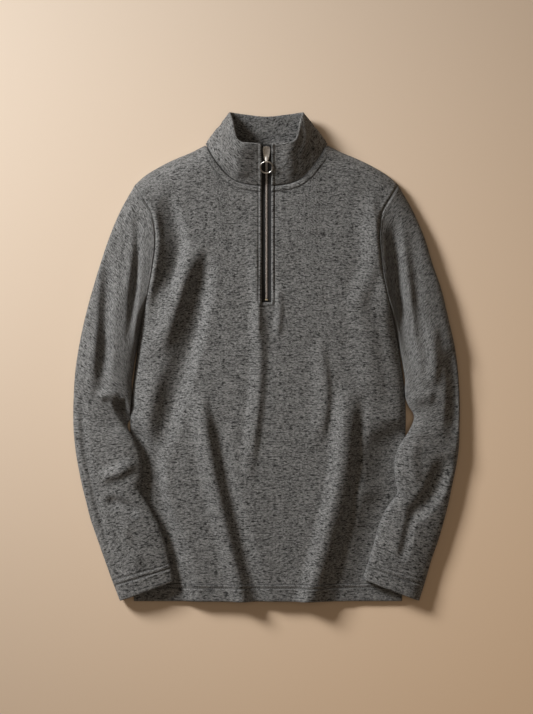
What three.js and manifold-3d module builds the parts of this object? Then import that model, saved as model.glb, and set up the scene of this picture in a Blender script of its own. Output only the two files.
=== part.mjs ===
// A quarter zip sweater of thick knit, laid flat on its back with its sleeves at its sides.
// Millimetres, +Z up. The underside rests at Z = 0, +Y runs from the hem to the collar, and
// +X is the wearer's left. The origin lies under the middle of the whole garment.
import Module from "manifold-3d";
import * as THREE from "three";
import { mergeVertices } from "three/addons/utils/BufferGeometryUtils.js";

const { abs, cos, hypot, max, min, PI, pow, sin, sqrt } = Math;

// Driving dimensions
const clothThick = 2.2; // body and sleeves
const collarThick = 2.8; // the collar is two layers pressed together
const hemThick = 1.2; // what the turned hem adds inside
const seamGap = 0.4; // open line between two sewn pieces
const armholeGap = 0.8; // and the same where a sleeve joins the body
const collarGap = 0.7; // and where the collar does
const neckPointGap = 2.2; // where front, back and collar meet
const hemY = -379;
const tipY = 267.5; // the shoulder tip, where shoulder, armhole and sleeve meet
const neckY = 264; // the neck seam at the centre front
const rimY = 327; // the collar's top edge at the centre front
const neckOut = 94.4; // the neck point, where the collar meets the shoulder
const slotOut = 7.3; // half of the window in which the zip shows
const seamZ = 6; // height of the side and shoulder seams
const sideRollWidth = 22;
const shoulderRollWidth = 34;
const pressedZ = 7.6; // the body's top where a forearm lies on it
const pressedSeamZ = 4.2; // and its side seam there
const pressedRollWidth = 4.5;
const pressedFrom = { right: -40, left: -70 }; // where it goes down, from the forearm's edge

// Half widths of the body from the hem to the shoulder tip, armholes included
const bodySide = {
  right: [
    { y: -379, out: 206 },
    { y: -220, out: 208 },
    { y: -105, out: 211.5 },
    { y: -67, out: 209.5 },
    { y: -20, out: 204.6 },
    { y: 26, out: 198.4 },
    { y: 57, out: 193.2 },
    { y: 98, out: 184.3 },
    { y: 138, out: 176.8 },
    { y: 183, out: 171.7 },
    { y: 222, out: 177.5 },
    { y: 248, out: 192 },
    { y: 267.5, out: 204 },
  ],
  left: [
    { y: -379, out: 210.8 },
    { y: -220, out: 212.5 },
    { y: -105, out: 216.2 },
    { y: -67, out: 215.5 },
    { y: -20, out: 210.8 },
    { y: 26, out: 203 },
    { y: 65, out: 195.3 },
    { y: 98, out: 187.2 },
    { y: 130, out: 180.4 },
    { y: 160, out: 176.6 },
    { y: 192, out: 174.4 },
    { y: 222, out: 178.4 },
    { y: 248, out: 192.6 },
    { y: 267.5, out: 204 },
  ],
};

// The shoulder's edge and the two necklines, from the centre outwards
const shoulderEdge = [
  { out: 94.4, y: 329 },
  { out: 116.3, y: 317.8 },
  { out: 145.7, y: 305.4 },
  { out: 170, y: 293 },
  { out: 189.5, y: 280.6 },
  { out: 204, y: 267.5 },
];
const neckFront = [
  { out: 0, y: 263.8 },
  { out: 7.3, y: 264 },
  { out: 26, y: 265.8 },
  { out: 41.5, y: 269.4 },
  { out: 54, y: 275.8 },
  { out: 66, y: 286.5 },
  { out: 76, y: 299 },
  { out: 86.5, y: 314.5 },
  { out: 94.4, y: 329 },
];
const neckBack = [
  { out: 0, y: 311 },
  { out: 35, y: 312 },
  { out: 60, y: 315.5 },
  { out: 80, y: 321.5 },
  { out: 94.4, y: 329 },
];

// Height of the body's middle along its length
const bodyCrown = [
  { y: -379, z: 19 },
  { y: -340, z: 21.5 },
  { y: -260, z: 25 },
  { y: -150, z: 29 },
  { y: 0, z: 31 },
  { y: 150, z: 33 },
  { y: 264, z: 33 },
  { y: 330, z: 33 },
];
const crownFall = 7; // how much lower the body is at its sides than in its middle

// The sleeves' edges from the armhole (t = 0) to the cuff (t = 1), as half widths and heights
const sleeveEdges = {
  right: [
    { t: 0, outerOut: 204, outerY: 267.5, innerOut: 199.6, innerY: 16.6 },
    { t: 0.08, outerOut: 226, outerY: 228, innerOut: 201.4, innerY: 9 },
    { t: 0.16, outerOut: 243.5, outerY: 186, innerOut: 203, innerY: 1 },
    { t: 0.24, outerOut: 257, outerY: 146, innerOut: 204.8, innerY: -9 },
    { t: 0.32, outerOut: 269.5, outerY: 105, innerOut: 206.6, innerY: -22 },
    { t: 0.4, outerOut: 281, outerY: 62, innerOut: 209, innerY: -38 },
    { t: 0.48, outerOut: 290.5, outerY: 18, innerOut: 209, innerY: -57 },
    { t: 0.54, outerOut: 296.5, outerY: -22, innerOut: 208.5, innerY: -76 },
    { t: 0.6, outerOut: 299.2, outerY: -64, innerOut: 211.5, innerY: -95 },
    { t: 0.65, outerOut: 299.6, outerY: -104, innerOut: 215.5, innerY: -109 },
    { t: 0.7, outerOut: 296.8, outerY: -140, innerOut: 203, innerY: -130 },
    { t: 0.74, outerOut: 292.5, outerY: -168, innerOut: 195, innerY: -153 },
    { t: 0.78, outerOut: 286, outerY: -200, innerOut: 192.6, innerY: -184 },
    { t: 0.81, outerOut: 280, outerY: -224, innerOut: 195.6, innerY: -206 },
    { t: 0.84, outerOut: 273.5, outerY: -250, innerOut: 182, innerY: -231 },
    { t: 0.88, outerOut: 263, outerY: -281, innerOut: 166, innerY: -261 },
    { t: 0.92, outerOut: 251, outerY: -315, innerOut: 155.5, innerY: -292 },
    { t: 0.96, outerOut: 240, outerY: -346, innerOut: 149.5, innerY: -320 },
    { t: 1, outerOut: 227.5, outerY: -378, innerOut: 142.6, innerY: -347 },
  ],
  left: [
    { t: 0, outerOut: 204, outerY: 267.5, innerOut: 204.3, innerY: 16.6 },
    { t: 0.08, outerOut: 226.5, outerY: 228, innerOut: 206, innerY: 9 },
    { t: 0.16, outerOut: 244.5, outerY: 186, innerOut: 208, innerY: 1 },
    { t: 0.24, outerOut: 257, outerY: 146, innerOut: 210.2, innerY: -9 },
    { t: 0.32, outerOut: 271, outerY: 105, innerOut: 212.6, innerY: -22 },
    { t: 0.4, outerOut: 281.5, outerY: 62, innerOut: 215, innerY: -38 },
    { t: 0.48, outerOut: 291.5, outerY: 18, innerOut: 214, innerY: -57 },
    { t: 0.54, outerOut: 297, outerY: -22, innerOut: 219.4, innerY: -74 },
    { t: 0.6, outerOut: 299.6, outerY: -64, innerOut: 229, innerY: -93 },
    { t: 0.65, outerOut: 299.6, outerY: -104, innerOut: 221, innerY: -114 },
    { t: 0.7, outerOut: 298.4, outerY: -140, innerOut: 206.5, innerY: -136 },
    { t: 0.74, outerOut: 294.5, outerY: -168, innerOut: 198.6, innerY: -160 },
    { t: 0.78, outerOut: 287.5, outerY: -202, innerOut: 199.6, innerY: -190 },
    { t: 0.81, outerOut: 282.5, outerY: -226, innerOut: 202.3, innerY: -211 },
    { t: 0.84, outerOut: 276, outerY: -252, innerOut: 188, innerY: -231 },
    { t: 0.88, outerOut: 267, outerY: -283, innerOut: 173.5, innerY: -262 },
    { t: 0.92, outerOut: 256, outerY: -315, innerOut: 165.5, innerY: -291 },
    { t: 0.96, outerOut: 247, outerY: -346, innerOut: 157.5, innerY: -318 },
    { t: 1, outerOut: 237, outerY: -378, innerOut: 148.8, innerY: -344 },
  ],
};
const sleeveCrown = [
  { t: 0, z: 29 },
  { t: 0.15, z: 31 },
  { t: 0.4, z: 32 },
  { t: 0.62, z: 29 },
  { t: 0.8, z: 26 },
  { t: 1, z: 19 },
];

// Soft folds. line runs from a fold's top end to its foot; rise is its height, below zero for
// a trough; west and east are its half widths towards -X and +X; runsOut says that it goes on
// over an edge and doesn't fade there.
const bodyFolds = [
  { line: [[-176, 243], [-168, 166], [-189, 50]], rise: 6, west: 16, east: 12 },
  { line: [[-160, 252], [-134, 178], [-158, 84]], rise: -13, west: 30, east: 16 },
  { line: [[-100, 186], [-138, 84], [-172, -4]], rise: 9, west: 26, east: 20 },
  { line: [[-172, 2], [-183, -105], [-180, -176]], rise: 6, west: 18, east: 26 },
  { line: [[-92, 168], [-112, 46], [-164, -140]], rise: -12, west: 36, east: 24 },
  { line: [[-165, -130], [-146, -225], [-116, -392]], rise: -9, west: 24, east: 16, runsOut: true },
  { line: [[-104, -44], [-84, -176], [-34, -392]], rise: 11, west: 24, east: 17, runsOut: true },
  { line: [[-80, -78], [-58, -210], [-8, -392]], rise: -5, west: 14, east: 22, runsOut: true },
  { line: [[-20, 190], [-13, 84], [-15, 20]], rise: 3.5, west: 16, east: 8 },
  { line: [[-12, 112], [-11, -36], [-30, -200]], rise: 6, west: 19, east: 14 },
  { line: [[17, 112], [20, 70], [16, 26]], rise: 3.5, west: 10, east: 10 },
  { line: [[82, 30], [92, -60], [80, -140]], rise: 5, west: 26, east: 11 },
  { line: [[124, -36], [112, -190], [60, -392]], rise: 13, west: 23, east: 32, runsOut: true },
  { line: [[150, -50], [140, -200], [112, -392]], rise: -6, west: 18, east: 22, runsOut: true },
  { line: [[160, 258], [172, 160], [197, 34]], rise: 7, west: 34, east: 14 },
  { line: [[172, 250], [166, 150], [130, 60]], rise: 5, west: 26, east: 20 },
  { line: [[144, 110], [156, 20], [170, -90]], rise: 4, west: 34, east: 26 },
];
const sleeveFolds = {
  right: [
    { line: [[-214, 246], [-206, 166], [-230, 62]], rise: 3, west: 14, east: 12 },
    { line: [[-202, 236], [-199, 160], [-215, 8]], rise: -9, west: 10, east: 10 },
    { line: [[-245, 176], [-249, 66], [-254, -62]], rise: -12, west: 15, east: 17 },
    { line: [[-262, 60], [-272, -20], [-270, -66]], rise: 4, west: 13, east: 14 },
    { line: [[-262, -64], [-245, -58], [-228, -62]], rise: 5, west: 12, east: 12 },
    { line: [[-226, -70], [-224, -90], [-216, -118]], rise: -22, west: 14, east: 16, runsOut: true },
    { line: [[-266, -180], [-236, -200], [-196, -206]], rise: 5, west: 18, east: 22 },
    { line: [[-250, -232], [-224, -240], [-196, -262]], rise: -6, west: 12, east: 13 },
    { line: [[-222, -250], [-214, -292], [-190, -330]], rise: 3, west: 14, east: 14 },
  ],
  left: [
    { line: [[189, 232], [198, 112], [224, -62]], rise: -18, west: 24, east: 14 },
    { line: [[208, 236], [217, 130], [228, 60]], rise: 3, west: 11, east: 11 },
    { line: [[226, 190], [234, 86], [240, 0]], rise: -3, west: 12, east: 13 },
    { line: [[254, 60], [259, 0], [256, -50]], rise: 6, west: 15, east: 15 },
    { line: [[278, 10], [289, -45], [283, -130]], rise: -8, west: 14, east: 10 },
    { line: [[262, -60], [240, -62], [222, -68]], rise: 5, west: 18, east: 18 },
    { line: [[232, -126], [222, -160], [238, -196]], rise: 4, west: 14, east: 18 },
    { line: [[284, -150], [262, -214], [220, -252]], rise: -7, west: 18, east: 18 },
    { line: [[228, -226], [216, -280], [206, -318]], rise: -5, west: 12, east: 13 },
  ],
};

// The collar's top edge, from the centre front round to the centre back, and how far its wall
// swells out and up halfway below each place
const collarRim = [
  { out: 7.7, y: 327, z: 60, swell: 0, lift: 0 },
  { out: 19, y: 327.4, z: 61, swell: 0, lift: 0.5 },
  { out: 30, y: 328, z: 62, swell: 0, lift: 1 },
  { out: 40, y: 330, z: 61.5, swell: 0, lift: 1.5 },
  { out: 46.5, y: 336, z: 59, swell: 1, lift: 2 },
  { out: 50, y: 348, z: 53, swell: 2, lift: 2 },
  { out: 52.5, y: 363, z: 43, swell: 1, lift: 2 },
  { out: 56.5, y: 377, z: 28, swell: 1, lift: 2 },
  { out: 54.5, y: 379, z: 19, swell: 2, lift: 0 },
  { out: 46, y: 378, z: 13, swell: 1, lift: 0 },
  { out: 32, y: 376, z: 10.5, swell: 0, lift: 0 },
  { out: 0, y: 372.8, z: 9.5, swell: 0, lift: 0 },
];

// The zip's tapes across, from the teeth outwards
const tapeOuts = [
  { step: 0, out: 1.9 },
  { step: 1, out: 7.3 },
  { step: 2, out: 14 },
];
const tapeThick = 0.9;
const tapeGap = 0.7;
const tapeFootY = 79;
const tapeTopY = 325;
const chainOut = 1.5;
const chainThick = 2.2;
const chainRise = 1.1;
const chainFootY = 90.5;
const chainTopY = 302;
const stopSize = [4.4, 2.4, 2.4];
const stopY = 88.4;
const zipBendY = 267.5; // where the zip turns up with the collar
const hingeY = 300.3;
const hingeRise = 6.9; // the ring's hinge above the tape, along the collar's normal
const ringRadius = 9.6;
const ringWire = 1.1;
const bailRadius = 2.9;
const bailEye = 1.55;
const bailOut = 1.7;
const ringTilt = 0.04; // how much more the ring slopes than the collar under it

// Grid counts
const bodyRows = 32;
const slotRow = 20;
const underarmRow = 17;
const slotShare = 0.72; // the zip's foot, as a share of the centre front
const shoulderRows = 4;
const shoulderShare = 0.05; // how much of the panel's length those rows take
const rollColumns = 4;
const panelStep = 12.5;
const halfColumns = 18;
const slotColumns = 2;
const backOuts = [0, 2.6, 5.6, 38, 73, 109.6, 117.6, 133.6, 157.6, 204]; // from the side seam
const collarHeightRows = 6;
const frontStations = 8; // collar stations on the front's neckline
const backNeckOuts = [86.4, 70.4, 46.4, 0]; // and the rest, on the back's
const tapeRows = 34;
const sleeveSections = 25;

const clamp = (x, low = 0, high = 1) => min(high, max(low, x));
const mix = (a, b, share) => a + (b - a) * share;

function smooth(low, high, x) {
  const share = clamp((x - low) / (high - low));
  return share * share * (3 - 2 * share);
}

// A smooth curve through a table's rows: gives column "to" at a value of column "from".
function curveOf(rows, from, to) {
  const last = rows.length - 1;
  const slope = (i) => {
    const a = rows[max(0, i - 1)];
    const b = rows[min(last, i + 1)];
    return (b[to] - a[to]) / (b[from] - a[from]);
  };
  return (at) => {
    const beyond = rows.findIndex((row) => row[from] > at);
    const i = beyond < 0 ? last - 1 : max(0, beyond - 1);
    const step = rows[i + 1][from] - rows[i][from];
    const s = clamp((at - rows[i][from]) / step);
    const rise = s * s * (3 - 2 * s);
    const out = s * (1 - s) * (1 - s) * slope(i);
    const back = s * s * (s - 1) * slope(i + 1);
    return mix(rows[i][to], rows[i + 1][to], rise) + (out + back) * step;
  };
}

const bodyOut = {
  right: curveOf(bodySide.right, "y", "out"),
  left: curveOf(bodySide.left, "y", "out"),
};
const shoulderY = curveOf(shoulderEdge, "out", "y");
const neckFrontY = curveOf(neckFront, "out", "y");
const neckBackY = curveOf(neckBack, "out", "y");
const crownZ = curveOf(bodyCrown, "y", "z");
const sleeveZ = curveOf(sleeveCrown, "t", "z");

// The sleeve's inner edge below the elbow, as a half width at a height
function overlapOut(side) {
  const rows = sleeveEdges[side].filter((row) => row.t >= 0.65).reverse();
  return curveOf(rows, "innerY", "innerOut");
}
const forearmOut = { right: overlapOut("right"), left: overlapOut("left") };

// Each fold's line as short straight stretches
function traced(folds) {
  return folds.map((fold) => {
    const points = fold.line.map(([x, y]) => new THREE.Vector2(x, y));
    return { ...fold, points: new THREE.SplineCurve(points).getPoints(14) };
  });
}
const tracedBody = traced(bodyFolds);
const tracedSleeve = { right: traced(sleeveFolds.right), left: traced(sleeveFolds.left) };

function foldsAt(folds, x, y) {
  let height = 0;
  for (const fold of folds) {
    const last = fold.points.length - 1;
    let best = Infinity;
    let signed = 0;
    let share = 0;
    for (let i = 0; i < last; i++) {
      const a = fold.points[i];
      const dx = fold.points[i + 1].x - a.x;
      const dy = fold.points[i + 1].y - a.y;
      const s = clamp(((x - a.x) * dx + (y - a.y) * dy) / (dx * dx + dy * dy));
      const away = hypot(x - a.x - dx * s, y - a.y - dy * s);
      if (away < best) {
        best = away;
        share = (i + s) / last;
        signed = dx * (y - a.y) - dy * (x - a.x);
      }
    }
    const width = signed > 0 ? fold.east : fold.west;
    if (best >= width) continue;
    const fadeIn = smooth(0, 0.3, share);
    const fadeOut = fold.runsOut ? 1 : smooth(1, 0.7, share);
    height += fold.rise * fadeIn * fadeOut * 0.5 * (1 + cos((PI * best) / width));
  }
  return height;
}

// A quarter round: 0 at the edge, 1 from width inwards
function roll(distance, width) {
  const left = 1 - clamp(distance / width);
  return sqrt(1 - left * left);
}

// How far the side rolls under: fully below the underarm, not at all along the armhole,
// where the cloth goes on into the sleeve
const sideRoll = (y) => 1 - smooth(30, 100, y);

// 1 above the forearms, 0 where they lie on the body
const aboveForearm = (y) => smooth(-135, -98, y);

const sideSeamZ = (y) => mix(pressedSeamZ, seamZ, aboveForearm(y));

function shoulderDistance(x, y) {
  const out = abs(x);
  const edge = out > neckOut ? shoulderY(out) : shoulderY(neckOut) + (neckOut - out) * 0.35;
  return (edge - y) * 0.88;
}

// How far a place is pressed flat by the forearm that lies on it, from 0 to 1
function pressed(side, x, y) {
  const under = abs(x) - forearmOut[side](y);
  return smooth(pressedFrom[side], -4, under) * smooth(-92, -122, y);
}

// Height of the front's outer surface
function frontHeight(x, y) {
  const side = x < 0 ? "right" : "left";
  const inside = bodyOut[side](y) - abs(x);
  const middle = crownZ(y) - crownFall * pow(min(1, abs(x) / 200), 3);
  const free = middle + foldsAt(tracedBody, x, y);
  const top = mix(free, pressedZ, pressed(side, x, y));
  const rollWidth = mix(pressedRollWidth, sideRollWidth, aboveForearm(y));
  const sides = 1 - sideRoll(y) * (1 - roll(inside, rollWidth));
  const shoulders = roll(shoulderDistance(x, y), shoulderRollWidth);
  return sideSeamZ(y) + (top - sideSeamZ(y)) * sides * shoulders;
}

// Height of the back's outer surface, its underside: flat, and curled up to the seams
function backHeight(x, y) {
  const side = x < 0 ? "right" : "left";
  const up = sideSeamZ(y) - seamGap;
  const inside = bodyOut[side](y) - abs(x);
  const atSide = sideRoll(y) * (1 - roll(inside, up));
  const onShoulder = smooth(neckOut - 10, neckOut, abs(x));
  const atShoulder = onShoulder * (1 - roll(shoulderDistance(x, y), up));
  return up * max(atSide, atShoulder);
}

// A closed wall of cloth on a grid. point(i, j) gives its outer surface, thick(i, j) the
// thickness, steer(i, j, normal) may turn the direction in which a seam's edge is cut, and
// has(i, j) says which cells are there.
function clothWall({ columns, rows, point, thick, steer, has = () => true, round = false }) {
  const nudge = 0.02;
  const across = round ? columns : columns + 1;
  const positions = [];
  const inner = [];
  for (let j = 0; j <= rows; j++) {
    for (let i = 0; i < across; i++) {
      const here = point(i, j);
      const low = round ? i - nudge : max(0, i - nudge);
      const high = round ? i + nudge : min(columns, i + nudge);
      const along = point(high, j).sub(point(low, j));
      const up = point(i, min(rows, j + nudge)).sub(point(i, max(0, j - nudge)));
      let normal = along.cross(up).normalize();
      if (steer) normal = steer(i, j, normal).normalize();
      positions.push(here);
      inner.push(here.clone().addScaledVector(normal, -thick(i, j)));
    }
  }
  const count = positions.length;
  const at = (i, j) => j * across + (round ? (i + columns) % columns : i);
  const there = (i, j) => j >= 0 && j < rows && (round || (i >= 0 && i < columns)) && has(i, j);
  const faces = [];
  const quad = (a, b, c, d) => faces.push(a, b, c, a, c, d);
  for (let j = 0; j < rows; j++) {
    for (let i = 0; i < columns; i++) {
      if (!there(i, j)) continue;
      const [a, b, c, d] = [at(i, j), at(i + 1, j), at(i + 1, j + 1), at(i, j + 1)];
      quad(a, b, c, d);
      faces.push(count + a, count + c, count + b, count + a, count + d, count + c);
      if (!there(i, j - 1)) quad(b, a, count + a, count + b);
      if (!there(i, j + 1)) quad(d, c, count + c, count + d);
      if (!there(i - 1, j)) quad(a, d, count + d, count + a);
      if (!there(i + 1, j)) quad(c, b, count + b, count + c);
    }
  }
  const geometry = new THREE.BufferGeometry();
  const numbers = [...positions, ...inner].flatMap((p) => [p.x, p.y, p.z]);
  geometry.setAttribute("position", new THREE.Float32BufferAttribute(numbers, 3));
  geometry.setIndex(faces);
  return geometry;
}

// Rows of the body panels, closer together where the shoulder rolls over
function rowShare(j) {
  if (j <= slotRow) return (slotShare * j) / slotRow;
  const turn = bodyRows - shoulderRows;
  if (j <= turn) return mix(slotShare, 1 - shoulderShare, (j - slotRow) / (turn - slotRow));
  return 1 - shoulderShare * (1 - cos(((bodyRows - j) / shoulderRows) * (PI / 2)));
}

const sideRowY = (j) => mix(hemY, tipY, rowShare(j));

// A place on half a body panel: s runs from the side seam to the centre, v from the hem to
// the shoulder and the neckline.
function panelPlace(side, s, v, innerOut, neckline) {
  const sideY = mix(hemY, tipY, v);
  const edge = [bodyOut[side](sideY), sideY];
  const middle = [innerOut, mix(hemY, neckline(innerOut), v)];
  const hem = [mix(bodyOut[side](hemY), innerOut, s), hemY];
  const topOut = mix(bodyOut[side](tipY), innerOut, s);
  const top = [topOut, topOut < neckOut ? neckline(topOut) : shoulderY(topOut)];
  const corners = (k) => {
    const tip = [bodyOut[side](tipY), tipY][k];
    const foot = [bodyOut[side](hemY), hemY][k];
    const neck = [innerOut, neckline(innerOut)][k];
    const low = [innerOut, hemY][k];
    return mix(mix(foot, low, s), mix(tip, neck, s), v);
  };
  const along = (k) => mix(hem[k], top[k], v) + mix(edge[k], middle[k], s) - corners(k);
  return [along(0), along(1)];
}

// Share of the half width at a column of the front, closer together in the side's roll
function frontShare(k) {
  const reach = panelStep * (halfColumns - rollColumns);
  const across =
    k < rollColumns
      ? sideRollWidth * (1 - cos((k / rollColumns) * (PI / 2)))
      : sideRollWidth + panelStep * (k - rollColumns);
  return across / (sideRollWidth + reach);
}

const frontColumns = 2 * halfColumns + slotColumns;

function frontPlace(i, j) {
  const v = rowShare(j);
  const fromLeft = frontColumns - i;
  if (i <= halfColumns) {
    const [out, y] = panelPlace("right", frontShare(i), v, slotOut, neckFrontY);
    return [-out, y];
  }
  if (fromLeft <= halfColumns) return panelPlace("left", frontShare(fromLeft), v, slotOut, neckFrontY);
  const share = (i - halfColumns) / slotColumns;
  return [mix(-slotOut, slotOut, share), mix(hemY, neckY, v)];
}

function frontPoint(i, j) {
  const [x, y] = frontPlace(i, j);
  return new THREE.Vector3(x, y, frontHeight(x, y));
}

// Keeps a seam's cut edge upright, as far as the cloth doesn't roll under there
function uprightEdge(normal, across, amount) {
  return normal.addScaledVector(across, -amount * normal.dot(across));
}

function frontSteer(i, j, normal) {
  const [, y] = frontPlace(i, j);
  if (i === 0 || i === frontColumns) {
    uprightEdge(normal, new THREE.Vector3(1, 0, 0), 1 - sideRoll(y));
  }
  if (j === bodyRows) {
    const out = abs(frontPlace(i, j)[0]);
    if (out < neckOut + 1) uprightEdge(normal, neckInward(i < halfColumns ? -1 : 1, out), 1);
  }
  return normal;
}

// The level direction from a front neckline's place into the neck hole
function neckInward(sign, out) {
  const step = 1;
  const slope = (neckFrontY(out + step) - neckFrontY(max(0, out - step))) / (2 * step);
  return new THREE.Vector3(-sign * slope, 1, 0).normalize();
}

// The turned hem adds its full thickness clear of the side seams only
const hemShare = (i) => smooth(0, rollColumns, min(i, frontColumns - i));

function frontPanel() {
  return clothWall({
    columns: frontColumns,
    rows: bodyRows,
    point: frontPoint,
    thick: (i, j) => clothThick + (j === 0 ? hemThick * hemShare(i) : 0),
    steer: frontSteer,
    has: (i, j) => j < slotRow || i < halfColumns || i >= halfColumns + slotColumns,
  });
}

const backHalf = backOuts.length - 1;

function backPlace(i, j) {
  const k = i <= backHalf ? i : 2 * backHalf - i;
  const low = min(backHalf - 1, Math.floor(k));
  const share = mix(backOuts[low], backOuts[low + 1], k - low) / backOuts[backHalf];
  const side = i <= backHalf ? "right" : "left";
  const [out, y] = panelPlace(side, share, rowShare(j), 0, neckBackY);
  return [side === "right" ? -out : out, y];
}

function backPanel() {
  const point = (i, j) => {
    const [x, y] = backPlace(2 * backHalf - i, j);
    return new THREE.Vector3(x, y, backHeight(x, y));
  };
  return clothWall({
    columns: 2 * backHalf,
    rows: bodyRows,
    point,
    thick: (i, j) => clothThick + (j === 0 ? 1 : 0),
  });
}

// Half of a sleeve's ring: share of the way from the outer to the inner edge at a ring point
const ringHalf = bodyRows - underarmRow;

function ringShare(k, t) {
  const onArmhole = (tipY - sideRowY(bodyRows - k)) / (tipY - sideRowY(underarmRow));
  const even = 0.5 * (1 - cos((PI * k) / ringHalf));
  return mix(onArmhole, even, smooth(0, 0.16, t));
}

function sleevePlace(side, t, c) {
  const edge = (column) => curveOf(sleeveEdges[side], "t", column)(t);
  const start = sleeveEdges[side][0];
  const armholeY = mix(tipY, sideRowY(underarmRow), c);
  const bow = bodyOut[side](armholeY) + armholeGap - mix(start.outerOut, start.innerOut, c);
  const bowY = armholeY - mix(start.outerY, start.innerY, c);
  const kept = 1 - smooth(0, 0.55, t);
  const y = mix(edge("outerY"), edge("innerY"), c) + bowY * kept;
  const out = mix(edge("outerOut"), edge("innerOut"), c) + bow * kept;
  const clear = y > -112 ? bodyOut[side](y) + armholeGap : 0;
  return [max(out, clear), y, armholeY];
}

// The surface that a sleeve lies on: the body's front under the forearm, else the floor
function restHeight(side, x, y, from = -28, to = -11) {
  const inside = bodyOut[side](y) - abs(x);
  return (pressedZ + 0.6) * smooth(from, to, inside) * smooth(-96, -122, y);
}

function sleevePoint(side, k, section) {
  const sign = side === "right" ? -1 : 1;
  const t = section / sleeveSections;
  const turn = ((k % (2 * ringHalf)) + 2 * ringHalf) % (2 * ringHalf);
  const under = turn > ringHalf;
  const c = ringShare(under ? 2 * ringHalf - turn : turn, t);
  const [out, y, armholeY] = sleevePlace(side, t, c);
  const x = sign * out;
  const rest = restHeight(side, x, y);
  const bulge = sqrt(max(0, 1 - (2 * c - 1) * (2 * c - 1)));
  const edgeZ = rest + mix(seamZ, 0.36 * sleeveZ(t), smooth(0, 0.2, t));
  if (under) return new THREE.Vector3(x, y, mix(edgeZ, rest, pow(bulge, 0.3)));
  const lifted = restHeight(side, x, y, -70, 10); // the upper side comes down more slowly
  const own = lifted + sleeveZ(t) + foldsAt(tracedSleeve[side], x, y);
  const free = mix(edgeZ, own, pow(bulge, 0.6));
  const sewn = frontHeight(sign * bodyOut[side](armholeY), armholeY);
  return new THREE.Vector3(x, y, mix(sewn, free, smooth(0, 0.16, t)));
}

function sleeve(side) {
  // The right sleeve's ring runs the other way round, so that both walls face out.
  const point = (i, j) => sleevePoint(side, side === "right" ? i : -i, sleeveSections - j);
  return clothWall({
    columns: 2 * ringHalf,
    rows: sleeveSections,
    round: true,
    point,
    thick: (i, j) => clothThick + (j === 0 ? hemThick : 0),
    steer: (i, j, normal) =>
      j === sleeveSections ? uprightEdge(normal, new THREE.Vector3(1, 0, 0), 0.9) : normal,
  });
}

// The collar's stations run from the wearer's left centre front round the back of the neck to
// the right one. Its base takes the same places as the panels' neck edges.
function collarHalf(sign) {
  const rows = [];
  for (let i = 0; i < collarRim.length; i++) {
    const rim = collarRim[i];
    const onFront = i < frontStations;
    const place = onFront
      ? frontPlace(sign > 0 ? frontColumns - halfColumns + i : halfColumns - i, bodyRows)
      : backNeckPlace(sign, backNeckOuts[i - frontStations]);
    const z = onFront ? frontHeight(...place) : backHeight(...place);
    const inFront = i < frontStations - 1;
    const inward = inFront ? neckInward(sign, abs(place[0])) : new THREE.Vector3(0, 1, 0);
    const gap = i === frontStations - 1 ? neckPointGap : collarGap;
    const base = new THREE.Vector3(place[0], place[1], z).addScaledVector(inward, gap);
    rows.push({
      base,
      inward,
      rim: new THREE.Vector3(sign * rim.out, rim.y, rim.z),
      swell: new THREE.Vector3(sign * rim.swell, 0, rim.lift),
    });
  }
  return rows;
}

const backNeckPlace = (sign, out) => [sign * out, neckBackY(out)];

const collarRows = collarHalf(1).concat(collarHalf(-1).slice(0, -1).reverse());
const collarSteps = collarRows.length - 1;
function collarCurve(key) {
  const points = collarRows.map((row) => row[key]);
  return new THREE.CatmullRomCurve3(points, false, "catmullrom");
}
const collarBase = collarCurve("base");
const collarTop = collarCurve("rim");
const collarSwell = collarCurve("swell");

function collarPoint(i, j) {
  const share = j / collarHeightRows;
  const point = collarBase.getPoint(i / collarSteps).lerp(collarTop.getPoint(i / collarSteps), share);
  return point.addScaledVector(collarSwell.getPoint(i / collarSteps), sin(PI * share));
}

function collar() {
  return clothWall({
    columns: collarSteps,
    rows: collarHeightRows,
    point: collarPoint,
    thick: () => collarThick,
    steer: (i, j, normal) => (j === 0 ? uprightEdge(normal, collarRows[i].inward, 1) : normal),
  });
}

// Height of the cloth's outer surface beside the zip
function besideZip(out, y) {
  const share = clamp((y - zipBendY) / (rimY - zipBendY));
  return mix(frontHeight(out, min(y, neckY)), collarRim[0].z, share);
}

// Height of the tape's top, under the cloth beside it
function tapeZ(out, y) {
  const side = max(slotOut, out);
  const cloth = mix(clothThick, collarThick, smooth(neckY - 10, neckY - 2, y));
  return min(besideZip(side, y), besideZip(-side, y)) - cloth - tapeGap;
}

function zipTape(sign) {
  const point = (i, j) => {
    const out = curveOf(tapeOuts, "step", "out")(sign > 0 ? i : tapeOuts.length - 1 - i);
    const y = mix(tapeFootY, tapeTopY, j / tapeRows);
    return new THREE.Vector3(sign * out, y, tapeZ(out, y));
  };
  return clothWall({ columns: tapeOuts.length - 1, rows: tapeRows, point, thick: () => tapeThick });
}

// The closed rows of teeth, as one strip between the tapes
function zipChain() {
  const point = (i, j) => {
    const y = mix(chainFootY, chainTopY, j / tapeRows);
    return new THREE.Vector3(mix(-chainOut, chainOut, i / 2), y, tapeZ(0, y) + chainRise);
  };
  return clothWall({ columns: 2, rows: tapeRows, point, thick: () => chainThick });
}

const wasm = await Module();
wasm.setup();

function solidOf(geometry) {
  const plain = geometry.clone();
  plain.deleteAttribute("normal");
  plain.deleteAttribute("uv");
  const merged = mergeVertices(plain, 1e-4);
  const vertProperties = new Float32Array(merged.attributes.position.array);
  const triVerts = new Uint32Array(merged.index.array);
  return new wasm.Manifold(new wasm.Mesh({ numProp: 3, vertProperties, triVerts }));
}

function geometryOf(solid) {
  const { vertProperties, triVerts } = solid.getMesh();
  const geometry = new THREE.BufferGeometry();
  geometry.setAttribute("position", new THREE.Float32BufferAttribute(vertProperties, 3));
  geometry.setIndex(Array.from(triVerts));
  return geometry;
}

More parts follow.
